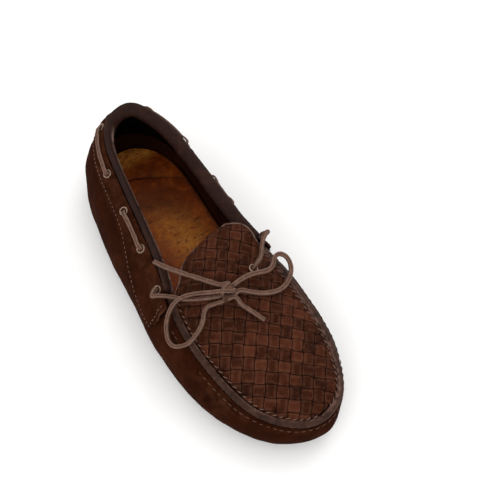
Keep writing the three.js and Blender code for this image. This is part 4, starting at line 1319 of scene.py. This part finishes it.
def spot(x, y, at, reach):
    return np.exp(-(((x - at[0]) / reach[0]) ** 2 + ((y - at[1]) / reach[1]) ** 2))


def footbed_relief(x, y, rim):
    flat = np.stack([x, y, np.zeros(x.shape)], -1)
    tread = -0.5 * spot(x, y, (0, -60), (30, 35)) - 0.3 * spot(x, y, (0, 60), (18, 50))
    waves = ripple(flat, 26, 61) * 0.18 + ripple(flat, 9, 62) * 0.08
    return waves * smooth(rim / 4) + tread + 0.5 * smooth((6 - rim) / 6)


def footbed_marks(x, y, rim):
    wear = 0.75 * spot(x, y, (6, 30), (16, 26)) + 0.35 * spot(x, y, (-6, 60), (14, 20))
    shade = 0.7 * smooth((5 - rim) / 5) + 0.45 * spot(x, y, (2, 78), (26, 16)) + smooth((-5 - y) / 40) * 0.6
    return {"wear": np.clip(wear, 0, 1), "shade": np.clip(shade, 0, 0.95)}


def pad_front(v):
    return 104 - 20 * v**1.4 + 7 * math.sin(math.pi * v)


def pad_relief(x, y, rim):
    flat = np.stack([x, y * 1.8, np.zeros(x.shape)], -1)
    curl = 1.2 * smooth((y - 118) / 14)
    waves = ripple(flat, 12, 63) * 0.3 + ripple(flat, 5, 64) * 0.2 * smooth((y - 100) / 25)
    return waves * smooth(rim / 3) + curl * 0.6


def pad_marks(x, y, rim):
    wear = smooth((y - 112) / 12) * 0.95 + 0.3 * spot(x, y, (8, 92), (14, 8))
    shade = 0.5 * smooth((3 - rim) / 3) * smooth((118 - y) / 10) + 0.25 * spot(x, y, (-4, 105), (16, 10))
    return {"wear": np.clip(wear, 0, 1), "shade": np.clip(shade, 0, 0.9)}


flat_piece("footbed_leather", FOOTBED_INSET, lambda v: -LENGTH, FOOTBED_BOTTOM, FOOTBED_TOP - 0.2,
           footbed_relief, footbed_marks, "footbed")
flat_piece("heel_pad_leather", HEEL_PAD_INSET, pad_front, FOOTBED_TOP + 0.1, PAD_TOP - 0.6,
           pad_relief, pad_marks, "heel_pad")


def perforations():
    """Pricked holes in the footbed, in loose rows: small dark cups, their colour painted shade for the inside
    of each hole.
    """
    made = []
    turn = np.linspace(0, 2 * np.pi, 12, endpoint=False)
    for row in range(4):
        for column in range(5):
            x = -7 + column * 6.4 + (row % 2) * 3.2
            y = 14 + row * 7.5 - column * 1.6
            rings = [np.stack([x + np.cos(turn) * r, y + np.sin(turn) * r, np.full(12, FOOTBED_TOP + z)], -1)
                     for r, z in ((0.5, -0.35), (0.55, 0.22), (0.35, 0.24), (0.2, 0.05))]
            made.append(tube(np.array(rings)))
    return ride(piece("footbed_perforation_shades", *gather(made), HOLE_SHADE), "insole")


perforations()


# ---------------------------------------------------------------- rubber
def inside(outline, x, y, margin):
    a = outline
    b = np.roll(outline, -1, axis=0)
    crossed = ((a[:, 1] > y) != (b[:, 1] > y))
    with np.errstate(divide="ignore", invalid="ignore"):
        cut = (b[:, 0] - a[:, 0]) * (y - a[:, 1]) / (b[:, 1] - a[:, 1]) + a[:, 0]
    odd = (crossed & (x < cut)).sum() % 2 == 1
    run = b - a
    share = np.clip(((np.array([x, y]) - a) * run).sum(1) / np.maximum((run**2).sum(1), 1e-9), 0, 1)
    near = a + run * share[:, None]
    return odd and np.hypot(near[:, 0] - x, near[:, 1] - y).min() > margin


def nub_radius(t, taper, shoulder):
    """The radius of a rubber pebble at a share of its height: a tapered side and a domed end."""
    if t < 0.7:
        return NUB_RADIUS * (1 - taper * t)
    return NUB_RADIUS * shoulder * math.sqrt(1 - ((t - 0.7) / 0.33) ** 2)


def nub(x, y, root):
    """A rubber pebble that hangs below the sheet."""
    turn = np.linspace(0, 2 * np.pi, 20, endpoint=False)
    rings = []
    for t in np.linspace(0, 1, 7):
        radius = nub_radius(t, 0.28, 0.82)
        z = root - root * t
        rings.append(np.stack([x + np.cos(turn) * radius, y + np.sin(turn) * radius, np.full(20, z)], -1))
    return tube(np.array(rings))


def sole(name, start, end, replaced):
    inset = FEATHER + SOLE_INSET
    s = np.linspace(start, end, 240)
    plan = (on_loop(WIDEST, s) - plan_normal(s) * inset)[:, :2]
    closing = np.linspace(plan[-1], plan[0], 40)[1:-1]
    plan = np.concatenate([plan, closing])
    centre = plan.mean(0)
    rings = []
    for shrink, height in ((0.6, 0), (0.975, 0), (0.993, 0.25), (1, 0.7), (1, SOLE_SHEET - 0.3),
                           (0.99, SOLE_SHEET), (0.6, SOLE_SHEET)):
        flat = centre + (plan - centre) * shrink
        rings.append(np.concatenate([flat, np.full((len(flat), 1), NUB_HEIGHT + height)], 1))
    made = [tube(np.array(rings))]
    for row in range(-20, 21):
        for column in range(-8, 9):
            x = (column + (0.5 if row % 2 else 0)) * NUB_PITCH
            y = row * NUB_PITCH * math.sqrt(3) / 2
            if inside(plan, x, y, NUB_RADIUS + 1):
                made.append(nub(x, y, NUB_HEIGHT + 0.6))
    points, faces = gather(made)
    wear = smooth((1.2 - points[:, 2]) / 1.2)
    return ride(piece(name, points, faces, RUBBER, {"wear": wear}, crease=50), "rubber", replaced)


sole("forefoot_rubber", 4.9, 15.1, "sole_forefoot")
sole("heel_rubber", -2.4, 2.4, "sole_heel")


def heel_rise():
    s = np.linspace(-0.32, 0.32, 30)[:, None]
    up = spaced(30)[None, :]
    s, up = np.broadcast_arrays(s, up)
    h = 0.14 + (0.55 - 0.14) * up
    side = (s / 0.32 + 1) / 2
    crown = edge_round(up, 0.06) * edge_round(side, 0.08)
    outer = wall(s, h, GAP + 1.4 * crown)
    inner = wall(s, h, GAP)
    made = [slab(outer, inner)]
    turn = np.linspace(0, 2 * np.pi, 20, endpoint=False)
    for height in (0.2, 0.29, 0.38, 0.47):
        for where in (-0.16, 0.16):
            seat = wall(where, height, GAP + 0.9)
            up_wall, along, out = shell_frame(where, height)
            rings = []
            for t in np.linspace(0, 1, 6):
                radius = nub_radius(t, 0.2, 0.84)
                circle = np.cos(turn)[:, None] * along + np.sin(turn)[:, None] * up_wall
                rings.append(seat + out * (t * NUB_HEIGHT) + radius * circle)
            made.append(tube(np.array(rings)))
    points, faces = gather(made)
    made = piece("heel_rise_rubber", points, faces, RUBBER, {"wear": np.zeros(len(points))})
    return ride(made, "rubber", "heel_rise")


heel_rise()

# Hidden layers keep their CAD shape.
for name in ("heel_counter", "insole_board"):
    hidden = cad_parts[name]
    hidden.data.materials.clear()
    hidden.data.materials.append(FELT)

# ---------------------------------------------------------------- floor, light and camera
floor_mesh = bpy.data.meshes.new("floor")
floor_mesh.from_pydata([(-4, -4, 0), (4, -4, 0), (4, 4, 0), (-4, 4, 0)], [], [(0, 1, 2, 3)])
floor_finish = Finish("floor_white", Roughness=0.9, Specular_IOR_Level=0.1)
dimmer, brighter = [0.96, 0.96, 0.96, 1], [0.97, 0.97, 0.97, 1]
floor_finish.paints(floor_finish.ramp(floor_finish.noise(400, 1), (0.3, dimmer), (0.7, brighter)))
floor_mesh.materials.append(floor_finish.material)
floor = bpy.data.objects.new("floor", floor_mesh)
floor.location.z = -0.0002
bpy.context.scene.collection.objects.link(floor)
floor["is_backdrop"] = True

world = bpy.data.worlds.new("studio")
world.use_nodes = True
world.node_tree.nodes["Background"].inputs["Color"].default_value = (1, 0.995, 0.985, 1)
world.node_tree.nodes["Background"].inputs["Strength"].default_value = 1.06
bpy.context.scene.world = world
bpy.context.scene.view_settings.view_transform = "Standard"


def area_light(name, place, target, size, power, tint=(1, 1, 1)):
    data = bpy.data.lights.new(name, "AREA")
    data.shape = "DISK"
    data.size = size
    data.energy = power
    data.color = tint
    made = bpy.data.objects.new(name, data)
    made.location = place
    made.rotation_mode = "QUATERNION"
    made.rotation_quaternion = (Vector(target) - Vector(place)).to_track_quat("-Z", "Y")
    bpy.context.scene.collection.objects.link(made)


area_light("key", (0.85, 0.4, 1.2), (0, 0, 0.03), 0.9, 4, (1, 0.99, 0.97))
area_light("front_fill", (-0.9, -0.6, 0.9), (0, 0, 0.03), 0.9, 3)

AZIMUTH = math.radians(-31.80)
ELEVATION = math.radians(60.54)
ROLL = math.radians(0.42)
DISTANCE = 0.5369
LENS = 52.51
LENS_SHIFT = (0.0129, 0.0099)
TARGET = Vector(to_frame((31.1, -3.4, 20)))
level = math.cos(ELEVATION)
back = Vector((math.sin(AZIMUTH) * level, -math.cos(AZIMUTH) * level, math.sin(ELEVATION)))
right = Vector((math.cos(AZIMUTH), math.sin(AZIMUTH), 0))
above = back.cross(right)
rolled_right = right * math.cos(ROLL) + above * math.sin(ROLL)
rolled_above = above * math.cos(ROLL) - right * math.sin(ROLL)
camera_data = bpy.data.cameras.new("camera")
camera_data.sensor_width = 36
camera_data.lens = LENS
camera_data.shift_x, camera_data.shift_y = LENS_SHIFT
camera_data.clip_start = 0.02
camera = bpy.data.objects.new("camera", camera_data)
turned = Matrix((rolled_right, rolled_above, back)).transposed().to_4x4()
camera.matrix_world = Matrix.Translation(TARGET + back * DISTANCE) @ turned
bpy.context.scene.collection.objects.link(camera)
bpy.context.scene.camera = camera

low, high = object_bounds()
